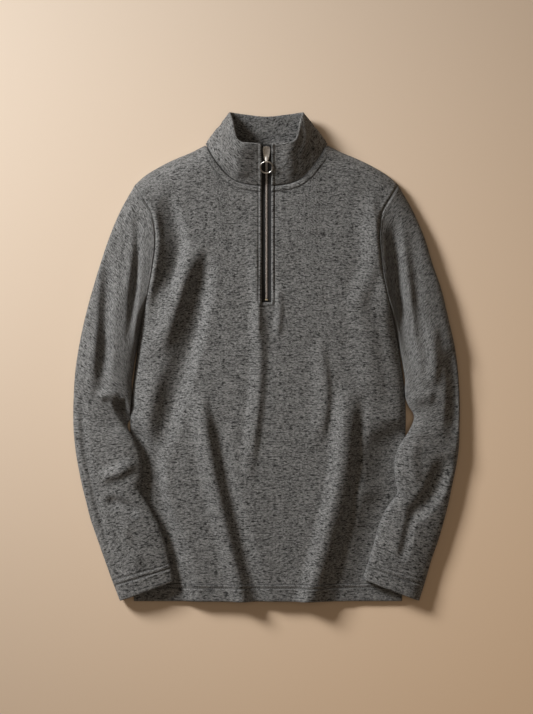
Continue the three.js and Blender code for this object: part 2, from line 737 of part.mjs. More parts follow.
// The slider: a tapered plate with a small hole, and a bail at its foot that holds the ring.
// It lies along the collar's front, and Y = 0, Z = 0 is the ring's hinge.
function sliderBody() {
  const plate = new THREE.Shape();
  plate.moveTo(-3.4, 1.6);
  plate.lineTo(3.4, 1.6);
  plate.lineTo(5.5, 15);
  plate.lineTo(5.2, 21.6);
  plate.lineTo(3.6, 22.6);
  plate.lineTo(-3.6, 22.6);
  plate.lineTo(-5.2, 21.6);
  plate.lineTo(-5.5, 15);
  const hole = new THREE.Path();
  hole.absarc(0, 9, 0.9, 0, 2 * PI, true);
  plate.holes.push(hole);
  const flat = new THREE.ExtrudeGeometry(plate, { depth: 2.4, bevelEnabled: false, curveSegments: 10 });
  flat.translate(0, 0, -5.6);
  const bail = new THREE.Shape();
  bail.moveTo(6.5, -4.6);
  bail.lineTo(6.5, -2.6);
  bail.lineTo(1.2, 2.6);
  bail.absarc(0, 0, bailRadius, 1.1, -1.57, false);
  bail.lineTo(0, -4.6);
  const eye = new THREE.Path();
  eye.absarc(0, 0, bailEye, 0, 2 * PI, true);
  bail.holes.push(eye);
  const across = { depth: 2 * bailOut, bevelEnabled: false, curveSegments: 20 };
  const arch = new THREE.ExtrudeGeometry(bail, across);
  arch.translate(0, 0, -bailOut);
  arch.applyMatrix4(new THREE.Matrix4().makeBasis(
    new THREE.Vector3(0, 1, 0),
    new THREE.Vector3(0, 0, 1),
    new THREE.Vector3(1, 0, 0),
  ));
  return geometryOf(solidOf(flat).add(solidOf(arch)));
}

// The ring pull: a wire ring whose top passes through the bail
function pullRing() {
  const ring = new THREE.TorusGeometry(ringRadius, ringWire, 10, 32);
  ring.translate(0, -ringRadius, 0);
  return mergeVertices(plainOf(ring), 1e-4);
}

function plainOf(geometry) {
  geometry.deleteAttribute("normal");
  geometry.deleteAttribute("uv");
  return geometry;
}

const knitColour = 0x6a6866;
const knit = () => new THREE.MeshStandardMaterial({ color: knitColour, roughness: 0.95 });
const tapeCloth = () => new THREE.MeshStandardMaterial({ color: 0x2c2b2c, roughness: 0.9 });
const steel = (color) => new THREE.MeshStandardMaterial({ color, roughness: 0.3, metalness: 0.9 });

function piece(name, geometry, material) {
  const mesh = new THREE.Mesh(geometry, material);
  mesh.name = name;
  return mesh;
}

const garment = new THREE.Group();
const hingeSlope = Math.atan2(tapeZ(0, rimY) - tapeZ(0, zipBendY), rimY - zipBendY);
const hingeZ = tapeZ(0, hingeY) + hingeRise;
garment.add(
  piece("front_panel", frontPanel(), knit()),
  piece("back_panel", backPanel(), knit()),
  piece("sleeve_right", sleeve("right"), knit()),
  piece("sleeve_left", sleeve("left"), knit()),
  piece("collar", collar(), knit()),
  piece("zip_tape_right", zipTape(-1), tapeCloth()),
  piece("zip_tape_left", zipTape(1), tapeCloth()),
  piece("zip_chain", zipChain(), steel(0xb8b4ac)),
);

const stop = piece("zip_bottom_stop", new THREE.BoxGeometry(...stopSize), steel(0xa39274));
stop.position.set(0, stopY, tapeZ(0, stopY) + 1.4);
garment.add(stop);

const slider = new THREE.Group();
slider.position.set(0, hingeY, hingeZ);
slider.rotation.x = hingeSlope;
slider.add(piece("zip_slider", sliderBody(), steel(0xc4c2be)));
const ring = piece("zip_ring", pullRing(), steel(0xc4c2be));
ring.rotation.x = ringTilt;
slider.add(ring);
garment.add(slider);

export default garment;
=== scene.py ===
# A quarter zip sweater of thick grey marled knit, laid flat on a pale surface.
# The shapes are worked out in millimetres and placed in metres.
import math

import bmesh
import bpy
import numpy as np
from mathutils import Matrix, Vector, noise
from mathutils.bvhtree import BVHTree


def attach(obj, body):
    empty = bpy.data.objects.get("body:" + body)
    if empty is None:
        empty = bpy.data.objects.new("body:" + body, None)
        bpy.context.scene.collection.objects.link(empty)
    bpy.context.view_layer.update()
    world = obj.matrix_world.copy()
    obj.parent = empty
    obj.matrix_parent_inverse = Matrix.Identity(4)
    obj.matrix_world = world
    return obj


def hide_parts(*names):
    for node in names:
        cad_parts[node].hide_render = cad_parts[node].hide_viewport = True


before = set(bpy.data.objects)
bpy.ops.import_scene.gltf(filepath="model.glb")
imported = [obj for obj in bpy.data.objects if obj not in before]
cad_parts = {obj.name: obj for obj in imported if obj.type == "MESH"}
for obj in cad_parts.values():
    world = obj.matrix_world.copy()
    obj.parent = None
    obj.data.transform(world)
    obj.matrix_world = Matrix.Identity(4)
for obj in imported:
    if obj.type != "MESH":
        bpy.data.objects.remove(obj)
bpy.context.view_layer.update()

mm = 0.001

# Curves and folds


def mix(a, b, share):
    return a + (b - a) * share


def smooth(low, high, x):
    share = np.clip((x - low) / (high - low), 0, 1)
    return share * share * (3 - 2 * share)


# A smooth curve through a table's rows, from one column to another
def curveOf(rows, source, target):
    at = np.array([row[source] for row in rows], float)
    to = np.array([row[target] for row in rows], float)
    before = np.r_[0, np.arange(len(at) - 1)]
    after = np.r_[np.arange(1, len(at)), len(at) - 1]
    slope = (to[after] - to[before]) / (at[after] - at[before])

    def curve(x):
        x = np.asarray(x, float)
        i = np.clip(np.searchsorted(at, x, side="right") - 1, 0, len(at) - 2)
        step = at[i + 1] - at[i]
        s = np.clip((x - at[i]) / step, 0, 1)
        rise = s * s * (3 - 2 * s)
        bend = s * (1 - s) ** 2 * slope[i] + s * s * (s - 1) * slope[i + 1]
        return mix(to[i], to[i + 1], rise) + bend * step

    return curve


# The place at a share w of the way from b to c, on a smooth curve through a, b, c and d
def between(a, b, c, d, w):
    out, back = (c - a) / 2, (d - b) / 2
    return (2 * b - 2 * c + out + back) * w ** 3 + (3 * c - 3 * b - 2 * out - back) * w ** 2 + out * w + b


def traceLine(line, steps=14):
    points = [np.array(p, float) for p in line]
    last = len(points) - 1
    traced = []
    for step in range(steps + 1):
        p = last * step / steps
        i = min(int(p), last - 1)
        near = (points[max(0, min(last, i + k))] for k in (-1, 0, 1, 2))
        traced.append(between(*near, p - i))
    return np.array(traced)


# A fold is (line, rise, west, east) and perhaps True where it runs out over an edge
def foldsAt(folds, x, y, fading=0.3):
    height = np.zeros_like(x, dtype=float)
    for line, rise, west, east, *runsOut in folds:
        points = traceLine(line)
        last = len(points) - 1
        best = np.full_like(height, np.inf)
        signed = np.zeros_like(height)
        share = np.zeros_like(height)
        for i in range(last):
            ax, ay = points[i]
            dx, dy = points[i + 1] - points[i]
            s = np.clip(((x - ax) * dx + (y - ay) * dy) / (dx * dx + dy * dy), 0, 1)
            away = np.hypot(x - ax - dx * s, y - ay - dy * s)
            closer = away < best
            best = np.where(closer, away, best)
            share = np.where(closer, (i + s) / last, share)
            signed = np.where(closer, dx * (y - ay) - dy * (x - ax), signed)
        width = np.where(signed > 0, east, west)
        fade = smooth(0, fading, share) * (1 if runsOut else smooth(1, 1 - fading, share))
        height += rise * fade * 0.5 * (1 + np.cos(np.pi * np.clip(best / width, 0, 1)))
    return height


def roll(distance, width):
    left = 1 - np.clip(distance / width, 0, 1)
    return np.sqrt(1 - left * left)


# Soft dimples. Each row is a height, how far apart across and along, and a seed.
def dimples(rows, x, y, rough=0.6, finer=2.3):
    values = np.zeros(x.size)
    for i, (a, b) in enumerate(zip(np.ravel(x), np.ravel(y))):
        for high, apartX, apartY, seed in rows:
            spot = Vector((a / apartX, b / apartY, seed))
            values[i] += high * (noise.noise(spot) + rough * noise.noise(spot * finer))
    return values.reshape(x.shape)


# The body's measures, which its panels share

body = {
    "clothThick": 2.2, "hemY": -379, "tipY": 267.5, "neckOut": 94.4, "neckY": 264, "rimY": 327,
    "neckBand": 9.0, "slotOut": 7.3, "slotFootY": 84, "stitchRows": (21.0, 28.0), "zipStitchWay": 5.3,
    "zipFootRow": 4.5,
    "seamZ": 6, "seamGap": 0.4, "crownFall": 7, "crownHalf": 200,
    "sideRollWidth": 22, "sideRollEnds": (30, 100), "shoulderRollWidth": 34, "shoulderSlope": 0.35,
    "shoulderLean": 0.88, "backNeckFade": 10,
    # where the forearms lie on the body and press it flat
    "forearmTop": (-135, -98), "pressedTop": (-92, -122), "pressedFrom": {"right": -40, "left": -70},
    "pressedFull": -4, "pressedZ": 7.6, "pressedSeamZ": 4.2, "pressedRollWidth": 4.5,
}
bodySide = {
    "right": [(-379, 206), (-220, 208), (-105, 211.5), (-67, 209.5), (-20, 204.6), (26, 198.4), (57, 193.2),
              (98, 184.3), (138, 176.8), (183, 171.7), (222, 177.5), (248, 192), (267.5, 204)],
    "left": [(-379, 210.8), (-220, 212.5), (-105, 216.2), (-67, 215.5), (-20, 210.8), (26, 203), (65, 195.3),
             (98, 187.2), (130, 180.4), (160, 176.6), (192, 174.4), (222, 178.4), (248, 192.6), (267.5, 204)],
}
shoulderEdge = [(94.4, 329), (116.3, 317.8), (145.7, 305.4), (170, 293), (189.5, 280.6), (204, 267.5)]
neckFront = [(0, 263.8), (7.3, 264), (26, 265.8), (41.5, 269.4), (54, 275.8), (66, 286.5), (76, 299),
             (86.5, 314.5), (94.4, 329)]
neckBack = [(0, 311), (35, 312), (60, 315.5), (80, 321.5), (94.4, 329)]
bodyCrown = [(-379, 19), (-340, 21.5), (-260, 25), (-150, 29), (0, 31), (150, 33), (264, 33), (330, 33)]
bodyFolds = [
    ([(-176, 243), (-168, 166), (-189, 50)], 6, 16, 12),
    ([(-160, 252), (-134, 178), (-158, 84)], -13, 30, 16),
    ([(-100, 186), (-138, 84), (-172, -4)], 9, 26, 20),
    ([(-172, 2), (-183, -105), (-180, -176)], 6, 18, 26),
    ([(-92, 168), (-115, 34), (-176, -184)], -13, 35, 24),
    ([(-180, -116), (-166, -215), (-134, -392)], -12, 26, 18, True),
    ([(-104, -44), (-84, -176), (-34, -392)], 11, 24, 17, True),
    ([(-80, -78), (-58, -210), (-8, -392)], -5, 14, 22, True),
    ([(-20, 190), (-13, 84), (-15, 20)], 3.5, 16, 8),
    ([(-12, 112), (-11, -36), (-30, -200)], 6, 19, 14),
    ([(17, 112), (20, 70), (16, 26)], 3.5, 10, 10),
    ([(82, 30), (92, -60), (80, -140)], 5, 26, 11),
    ([(124, -36), (112, -190), (60, -392)], 13, 23, 32, True),
    ([(148, -46), (138, -200), (108, -392)], -4.5, 15, 14, True),
    ([(160, 258), (172, 160), (197, 34)], 7, 34, 14),
    ([(172, 250), (166, 150), (130, 60)], 5, 26, 20),
    ([(144, 110), (156, 20), (170, -90)], 4, 34, 26),
]
# share of the way along the arm, then out and y of the outer edge, and out and y of the inner edge
sleeveEdges = {
    "right": [
        (0, 204, 267.5, 199.6, 16.6), (0.08, 226, 228, 201.4, 9), (0.16, 243.5, 186, 203, 1),
        (0.24, 257, 146, 204.8, -9), (0.32, 269.5, 105, 206.6, -22), (0.4, 281, 62, 209, -38),
        (0.48, 290.5, 18, 209, -57), (0.54, 296.5, -22, 208.5, -76), (0.6, 299.2, -64, 211.5, -95),
        (0.65, 299.6, -104, 215.5, -109), (0.7, 296.8, -140, 203, -130), (0.74, 292.5, -168, 195, -153),
        (0.78, 286, -200, 192.6, -184), (0.81, 280, -224, 195.6, -206), (0.84, 273.5, -250, 182, -231),
        (0.88, 263, -281, 166, -261), (0.92, 251, -315, 155.5, -292), (0.96, 240, -346, 149.5, -320),
        (1, 227.5, -378, 142.6, -347),
    ],
    "left": [
        (0, 204, 267.5, 204.3, 16.6), (0.08, 226.5, 228, 206, 9), (0.16, 244.5, 186, 208, 1),
        (0.24, 257, 146, 210.2, -9), (0.32, 271, 105, 212.6, -22), (0.4, 281.5, 62, 215, -38),
        (0.48, 291.5, 18, 214, -57), (0.54, 297, -22, 219.4, -74), (0.6, 299.6, -64, 229, -93),
        (0.65, 299.6, -104, 221, -114), (0.7, 298.4, -140, 206.5, -136), (0.74, 294.5, -168, 198.6, -160),
        (0.78, 287.5, -202, 199.6, -190), (0.81, 282.5, -226, 202.3, -211), (0.84, 276, -252, 188, -231),
        (0.88, 267, -283, 173.5, -262), (0.92, 256, -315, 165.5, -291), (0.96, 247, -346, 157.5, -318),
        (1, 237, -378, 148.8, -344),
    ],
}

bodyOut = {side: curveOf(rows, 0, 1) for side, rows in bodySide.items()}
shoulderY = curveOf(shoulderEdge, 0, 1)
neckFrontY = curveOf(neckFront, 0, 1)
neckBackY = curveOf(neckBack, 0, 1)
crownZ = curveOf(bodyCrown, 0, 1)
forearmFrom = 0.65
forearmOut = {}
for side, rows in sleeveEdges.items():
    forearm = [row for row in rows if row[0] >= forearmFrom]
    forearmOut[side] = curveOf(forearm[::-1], 4, 3)


def bySide(x, values):
    return np.where(x < 0, values("right"), values("left"))


def sideRoll(y):
    return 1 - smooth(*body["sideRollEnds"], y)


def aboveForearm(y):
    return smooth(*body["forearmTop"], y)


def sideSeamZ(y):
    return mix(body["pressedSeamZ"], body["seamZ"], aboveForearm(y))


def insideOf(x, y):
    return bySide(x, lambda side: bodyOut[side](y)) - np.abs(x)


def shoulderDistance(x, y):
    out = np.abs(x)
    inner = shoulderY(body["neckOut"]) + (body["neckOut"] - out) * body["shoulderSlope"]
    return (np.where(out > body["neckOut"], shoulderY(out), inner) - y) * body["shoulderLean"]


# How far a forearm presses the front flat, from 0 to 1
def pressed(x, y):
    under = np.abs(x) - bySide(x, lambda side: forearmOut[side](y))
    start = bySide(x, lambda side: body["pressedFrom"][side])
    return smooth(start, body["pressedFull"], under) * smooth(*body["pressedTop"], y)


def frontHeight(x, y):
    middle = crownZ(y) - body["crownFall"] * np.minimum(1, np.abs(x) / body["crownHalf"]) ** 3
    top = mix(middle + foldsAt(bodyFolds, x, y), body["pressedZ"], pressed(x, y))
    width = mix(body["pressedRollWidth"], body["sideRollWidth"], aboveForearm(y))
    sides = 1 - sideRoll(y) * (1 - roll(insideOf(x, y), width))
    shoulders = roll(shoulderDistance(x, y), body["shoulderRollWidth"])
    return sideSeamZ(y) + (top - sideSeamZ(y)) * sides * shoulders


def backHeight(x, y):
    up = sideSeamZ(y) - body["seamGap"]
    atSide = sideRoll(y) * (1 - roll(insideOf(x, y), up))
    onShoulder = smooth(body["neckOut"] - body["backNeckFade"], body["neckOut"], np.abs(x))
    atShoulder = onShoulder * (1 - roll(shoulderDistance(x, y), up))
    return up * np.maximum(atSide, atShoulder)


# Cloth pieces from grids

def gridMesh(columns, rows):
    bm = bmesh.new()
    bmesh.ops.create_grid(bm, x_segments=columns, y_segments=rows, size=1)
    bm.verts.ensure_lookup_table()
    spots = np.array([(v.co.x, v.co.y) for v in bm.verts])
    places = np.rint((spots + 1) / 2 * [columns, rows]).astype(int)
    return bm, places[:, 0], places[:, 1]


# A mesh from a bmesh, which it frees
def meshOf(name, bm):
    mesh = bpy.data.meshes.new(name)
    bm.to_mesh(mesh)
    bm.free()
    return mesh


def addObject(name, data):
    made = bpy.data.objects.new(name, data)
    bpy.context.collection.objects.link(made)
    return made


# Makes a smooth piece of the scene from a bmesh
def newPiece(name, bm):
    for face in bm.faces:
        face.smooth = True
    return addObject(name, meshOf(name, bm))


# Shapes a grid to a surface. points[row, column] are millimetres and uv[row, column] metres.
# edges[row, column] are two distances from sewn edges, in metres. Its thickness lies below its face.
def clothPiece(name, points, uv, thick=None, keep=None, closed=False, capped=False, edges=None):
    rows, columns = points.shape[0] - 1, points.shape[1] - 1
    bm, i, j = gridMesh(columns, rows)
    layer, edgeLayer = bm.loops.layers.uv.new("cloth"), bm.loops.layers.uv.new("edges")
    flat = points[j, i] * mm
    where = uv[j, i]
    ways = np.ones_like(where) if edges is None else edges[j, i]
    for vert, spot in zip(bm.verts, flat):
        vert.co = spot
    bm.verts.index_update()
    for face in bm.faces:
        for loop in face.loops:
            loop[layer].uv = where[loop.vert.index]
            loop[edgeLayer].uv = ways[loop.vert.index]
    if keep is not None:
        gone = []
        for face in bm.faces:
            column = min(i[v.index] for v in face.verts)
            row = min(j[v.index] for v in face.verts)
            if not keep(column, row):
                gone.append(face)
        bmesh.ops.delete(bm, geom=gone, context="FACES")
    if closed:
        bmesh.ops.remove_doubles(bm, verts=bm.verts, dist=1e-6)
    if capped:
        rims = [edge for edge in bm.edges if edge.is_boundary]
        caps = bmesh.ops.holes_fill(bm, edges=rims, sides=0)["faces"]
        bmesh.ops.triangulate(bm, faces=caps)
    piece = newPiece(name, bm)
    if thick is not None:
        solid = piece.modifiers.new("thickness", "SOLIDIFY")
        solid.thickness = thick * mm
        solid.offset = -1
        solid.use_even_offset = False
    return piece


# Distances in metres along the cloth from its row or column at start
def arcs(points, axis, start):
    steps = np.linalg.norm(np.diff(points, axis=axis), axis=2)
    zero = np.zeros_like(np.take(steps, [0], axis=axis))
    total = np.cumsum(np.concatenate([zero, steps], axis=axis), axis=axis) * mm
    return total - np.take(total, [start], axis=axis)


# A grid's places on the cloth laid out flat, across from one column and up from the first row
def laidOut(points, column):
    return np.stack([arcs(points, 1, column), arcs(points, 0, 0)], axis=2)


def bump(x, centre, width, height):
    return height * np.exp(-((x - centre) / width) ** 2)


# Places from stop to stop, with a step of its own for each stretch
def spread(stops, steps):
    values = [stops[0]]
    for low, high, step in zip(stops[:-1], stops[1:], steps):
        count = max(1, round(abs(high - low) / step))
        values += [low + (high - low) * (k + 1) / count for k in range(count)]
    return np.array(values)


# Front panel

front = {
    "acrossStops": (0, 4, 24, 181.5, 191, 196.7), "acrossSteps": (0.8, 1.8, 3.0, 1.2, 0.8),
    "alongStops": (-379, -348, 225, 255, 267.5), "alongSteps": (0.9, 3.0, 2.0, 1.0),
    "slotColumns": 4, "dimples": [(0.8, 46, 84, 3.1), (0.22, 15, 24, 7.7)], "calmWidth": 26, "noNeckY": 400,
    # relief: how far from its line, how wide and how high, or only the last two
    "armholeSeam": (0, 1.7, 1.3), "armholeRidge": (5, 3.2, 0.7), "hemEdge": (0, 1.6, 0.8),
    "hemSeam": (131, 1.0, 0.9), "zipEdge": (0, 1.0, 0.9), "zipRoll": (2.6, 2.0, 1.3),
    "neckSeam": (0, 1.4, 1.8), "zipGroove": (1.0, 1.1), "neckGroove": (0.9, 1.3), "neckRise": 1.1,
    "zipFootFade": (-12, -8),
}
back = {
    "acrossStops": (0, 8, 24, 204), "acrossSteps": (1.2, 3, 6),
    "alongStops": (-379, -345, 225, 267.5), "alongSteps": (4, 8, 3),
}
turned = {
    "high": 0.7, "fade": 3, "groove": (1.1, 1.0), "ridge": (1.7, 0.5), "outerRidge": (1.7, 0.4),
    "ridgeAway": 3.2,
}


# Places of half a panel, at shares s from its side to its middle and shares v from its hem up
def panelPlace(side, s, v, innerOut, neckline):
    tip, hem = body["tipY"], body["hemY"]
    sideY = mix(hem, tip, v)
    edge = (bodyOut[side](sideY), sideY)
    middle = (innerOut, mix(hem, neckline(innerOut), v))
    foot = (bodyOut[side](hem), hem)
    topOut = mix(float(bodyOut[side](tip)), innerOut, s)
    top = (topOut, np.where(topOut < body["neckOut"], neckline(topOut), shoulderY(topOut)))
    corner = (bodyOut[side](tip), tip)
    neck = (innerOut, neckline(innerOut))
    low = (innerOut, hem)
    place = []
    for k in (0, 1):
        across = mix(mix(foot[k], low[k], s), top[k], v)
        along = mix(edge[k], middle[k], s)
        corners = mix(mix(foot[k], low[k], s), mix(corner[k], neck[k], s), v)
        place.append(across + along - corners)
    return place


# A panel's right and left halves as grids of places, and the shares of the way up
def panelHalves(grid, innerOut, neckline):
    across = spread(grid["acrossStops"], grid["acrossSteps"])[None, :]
    s = across / grid["acrossStops"][-1]
    ys = spread(grid["alongStops"], grid["alongSteps"])
    v = ((ys - body["hemY"]) / (body["tipY"] - body["hemY"]))[:, None]
    right = panelPlace("right", s, v, innerOut, neckline)
    left = panelPlace("left", s[:, ::-1], v, innerOut, neckline)
    return right, left, v


def frontGrid():
    (rightX, rightY), (leftX, leftY), v = panelHalves(front, body["slotOut"], neckFrontY)
    middleX = np.linspace(-body["slotOut"], body["slotOut"], front["slotColumns"] + 1)[None, 1:-1] + 0 * v
    middleY = mix(body["hemY"], float(neckFrontY(body["slotOut"])), v) + 0 * middleX
    x = np.concatenate([-rightX, middleX, leftX], axis=1)
    y = np.concatenate([rightY, middleY, leftY], axis=1)
    return x, y, rightX.shape[1] - 1


# How steeply the front neck seam climbs outward
def neckSlope(out):
    return (neckFrontY(out + 1) - neckFrontY(np.maximum(out - 1, 0))) / 2


# How far places of the front lie from the neck seam and from the zip's window
def sewnWays(x, y):
    out = np.abs(x)
    neckLine = np.where(out < body["neckOut"], neckFrontY(out), front["noNeckY"])
    fromSlot = np.hypot(np.maximum(out - body["slotOut"], 0), np.maximum(body["slotFootY"] - y, 0))
    return (neckLine - y) / np.sqrt(1 + neckSlope(out) ** 2), fromSlot


# Where a turned edge is doubled, as far as the second of its sewn rows
def onBand(way, rows):
    return smooth(rows[1] + turned["fade"], rows[1], way)


# Relief of a turned edge: a doubled band that ends at two sewn grooves with a ridge between them
def turnedEdge(way, rows):
    low, high = rows
    grooves = bump(way, low, *turned["groove"]) + bump(way, high, *turned["groove"])
    outer = bump(way, low - turned["ridgeAway"], *turned["outerRidge"])
    ridges = bump(way, (low + high) / 2, *turned["ridge"]) + outer
    return turned["high"] * onBand(way, rows) - grooves + ridges


# Seams, stitch grooves and turned edges of the front, in millimetres
def frontRelief(x, y):
    inside = insideOf(x, y)
    fromHem = y - body["hemY"]
    fromNeck, fromSlot = sewnWays(x, y)
    alongArmhole = 1 - sideRoll(y)
    z = -alongArmhole * (bump(inside, *front["armholeSeam"]) - bump(inside, *front["armholeRidge"]))
    z += turnedEdge(fromHem, body["stitchRows"]) - bump(fromHem, *front["hemEdge"])
    z -= bump(x, *front["hemSeam"]) * onBand(fromHem, body["stitchRows"])
    low, high = front["zipFootFade"]
    onZip = smooth(body["slotFootY"] + low, body["slotFootY"] + high, y)
    grooves = bump(fromSlot, *front["zipEdge"]) + bump(fromSlot, body["zipStitchWay"], *front["zipGroove"])
    z += onZip * (bump(fromSlot, *front["zipRoll"]) - grooves)
    nearNeck = smooth(body["neckBand"] + 2, body["neckBand"] - 1, fromNeck)
    z += nearNeck * (front["neckRise"] - bump(fromNeck, *front["neckSeam"]))
    return z - bump(fromNeck, body["neckBand"], *front["neckGroove"])


def frontPanel():
    x, y, half = frontGrid()
    calm = smooth(0, front["calmWidth"], insideOf(x, y)) * (1 - pressed(x, y))
    z = frontHeight(x, y) + calm * dimples(front["dimples"], x, y) + frontRelief(x, y)
    points = np.stack([x, y, z], axis=2)
    inSlot = range(half, half + front["slotColumns"])
    slotRows = y[:, half] >= body["slotFootY"]
    edges = np.clip(np.stack(sewnWays(x, y), axis=2), -5, 60) * mm
    uv = laidOut(points, half + front["slotColumns"] // 2)
    return clothPiece("frontPanel", points, uv, body["clothThick"],
                      keep=lambda i, j: not (i in inSlot and slotRows[j]), edges=edges)


# Back panel

def backPanel():
    (rightX, rightY), (leftX, leftY) = panelHalves(back, 0, neckBackY)[:2]
    x = np.concatenate([-rightX, leftX[:, 1:]], axis=1)[:, ::-1]
    y = np.concatenate([rightY, leftY[:, 1:]], axis=1)[:, ::-1]
    points = np.stack([x, y, backHeight(x, y)], axis=2)
    return clothPiece("backPanel", points, laidOut(points, rightX.shape[1] - 1), body["clothThick"])


# Sleeves

sleeve = {
    "gap": 0.2, "length": 668.0, "underarmY": 16.6, "stitchRows": (20.0, 27.0),
    "around": 104, "ends": (10, 32), "alongSteps": (1.2, 2.7, 0.9),
    "crown": [(0, 29), (0.15, 31), (0.4, 32), (0.62, 29), (0.8, 26), (1, 19)],
    # where a forearm lies on the body, and how far in from its side that starts and ends
    "besideY": -112, "onBodyY": (-96, -122), "restIn": (-28, -11), "liftIn": (-70, 10), "restGap": 0.6,
    # shares of the arm within which the armhole's shape fades out and the dimples are calm
    "bowFade": 0.55, "edgeFade": 0.2, "seamFade": 0.16, "calm": (0.06, 0.93),
    "edgeShare": 0.36, "edgeCrease": 0.35, "lowerRound": 0.3, "upperRound": 0.6,
    "dimples": [(0.8, 36, 62, 11.3), (0.25, 14, 21, 5.9)],
    "seam": (0, 2.2, 1.3), "seamRidge": (6, 3.4, 0.6), "cuffEdge": (0, 1.6, 0.7),
    "folds": {
        "right": [
            ([(-214, 246), (-206, 166), (-230, 62)], 3, 14, 12),
            ([(-202, 236), (-199, 160), (-215, 8)], -9, 10, 10),
            ([(-245, 176), (-249, 66), (-254, -62)], -12, 15, 17),
            ([(-262, 60), (-272, -20), (-270, -66)], 4, 13, 14),
            ([(-262, -64), (-245, -58), (-228, -62)], 5, 12, 12),
            ([(-230, -66), (-224, -82), (-210, -104)], -20, 12, 15, True),
            ([(-262, -188), (-230, -178), (-200, -160)], 6.5, 15, 15),
            ([(-250, -222), (-222, -228), (-196, -246)], -7, 13, 13),
            ([(-286, -30), (-283, -130), (-262, -232), (-226, -350)], -4.5, 8, 12),
            ([(-222, -250), (-214, -292), (-190, -330)], 3, 14, 14),
        ],
        "left": [
            ([(189, 232), (200, 112), (229, -62)], -19, 26, 19),
            ([(208, 236), (217, 130), (228, 60)], 3, 11, 11),
            ([(226, 190), (234, 86), (240, 0)], -3, 12, 13),
            ([(254, 60), (259, 0), (256, -50)], 6, 15, 15),
            ([(283, 16), (292, -45), (287, -146)], -9, 19, 13),
            ([(262, -60), (240, -62), (222, -68)], 5, 18, 18),
            ([(232, -126), (222, -160), (238, -196)], 4, 14, 18),
            ([(282, -150), (257, -212), (216, -256)], -9.5, 25, 20),
            ([(228, -226), (216, -280), (206, -318)], -5, 12, 13),
        ],
    },
}
sleeveZ = curveOf(sleeve["crown"], 0, 1)


# A sleeve's face at turns around it and shares t along it. The first half turn is its upper side.
def sleeveSurface(side, turn, t):
    sign = -1 if side == "right" else 1
    rows = sleeveEdges[side]
    outerOut, outerY, innerOut, innerY = (curveOf(rows, 0, k)(t) for k in (1, 2, 3, 4))
    c = 0.5 * (1 - np.cos(turn))
    armholeY = mix(body["tipY"], sleeve["underarmY"], c)
    bow = bodyOut[side](armholeY) + sleeve["gap"] - mix(rows[0][1], rows[0][3], c)
    bowY = armholeY - mix(rows[0][2], rows[0][4], c)
    kept = 1 - smooth(0, sleeve["bowFade"], t)
    y = mix(outerY, innerY, c) + bowY * kept
    out = mix(outerOut, innerOut, c) + bow * kept
    out = np.maximum(out, np.where(y > sleeve["besideY"], bodyOut[side](y) + sleeve["gap"], 0))
    x = sign * out
    inside = bodyOut[side](y) - out
    onBody = (body["pressedZ"] + sleeve["restGap"]) * smooth(*sleeve["onBodyY"], y)
    rest = onBody * smooth(*sleeve["restIn"], inside)
    creased = foldsAt(sleeve["folds"][side], x, y)
    edgeZ = rest + mix(body["seamZ"], sleeve["edgeShare"] * sleeveZ(t), smooth(0, sleeve["edgeFade"], t))
    edgeZ = edgeZ + sleeve["edgeCrease"] * np.minimum(0, creased) * smooth(0.85, 1, c)
    bulge = np.abs(np.sin(turn))
    lower = mix(edgeZ, rest, bulge ** sleeve["lowerRound"])
    own = onBody * smooth(*sleeve["liftIn"], inside) + sleeveZ(t) + creased
    free = mix(edgeZ, own, bulge ** sleeve["upperRound"])
    sewn = frontHeight(sign * bodyOut[side](armholeY), armholeY)
    upper = mix(sewn, free, smooth(0, sleeve["seamFade"], t))
    calm = bulge * smooth(0, sleeve["calm"][0], t) * smooth(1, sleeve["calm"][1], t)
    upper = upper + calm * dimples(sleeve["dimples"], x, y)
    fromSeam, fromCuff = t * sleeve["length"], (1 - t) * sleeve["length"]
    upper = upper - bump(fromSeam, *sleeve["seam"]) + bump(fromSeam, *sleeve["seamRidge"])
    relief = turnedEdge(fromCuff, sleeve["stitchRows"]) - bump(fromCuff, *sleeve["cuffEdge"])
    upper = upper + relief * np.minimum(1, bulge * 2)
    return np.stack([x, y, np.where(turn > np.pi, lower, upper)], axis=-1)


def sleevePiece(side):
    turns = np.linspace(0, 2 * np.pi, sleeve["around"] + 1)
    if side == "left":
        turns = turns[::-1]
    length = sleeve["length"]
    top, cuff = sleeve["ends"]
    ts = spread((0, top, length - cuff, length), sleeve["alongSteps"]) / length
    turn, t = np.meshgrid(turns, ts[::-1])
    points = sleeveSurface(side, turn, t)
    points[:, -1] = points[:, 0]
    uv = np.stack([arcs(points, 1, 0), (1 - t) * length * mm], axis=2)
    return clothPiece("sleeve" + side.capitalize(), points, uv, body["clothThick"], closed=True)


# Collar

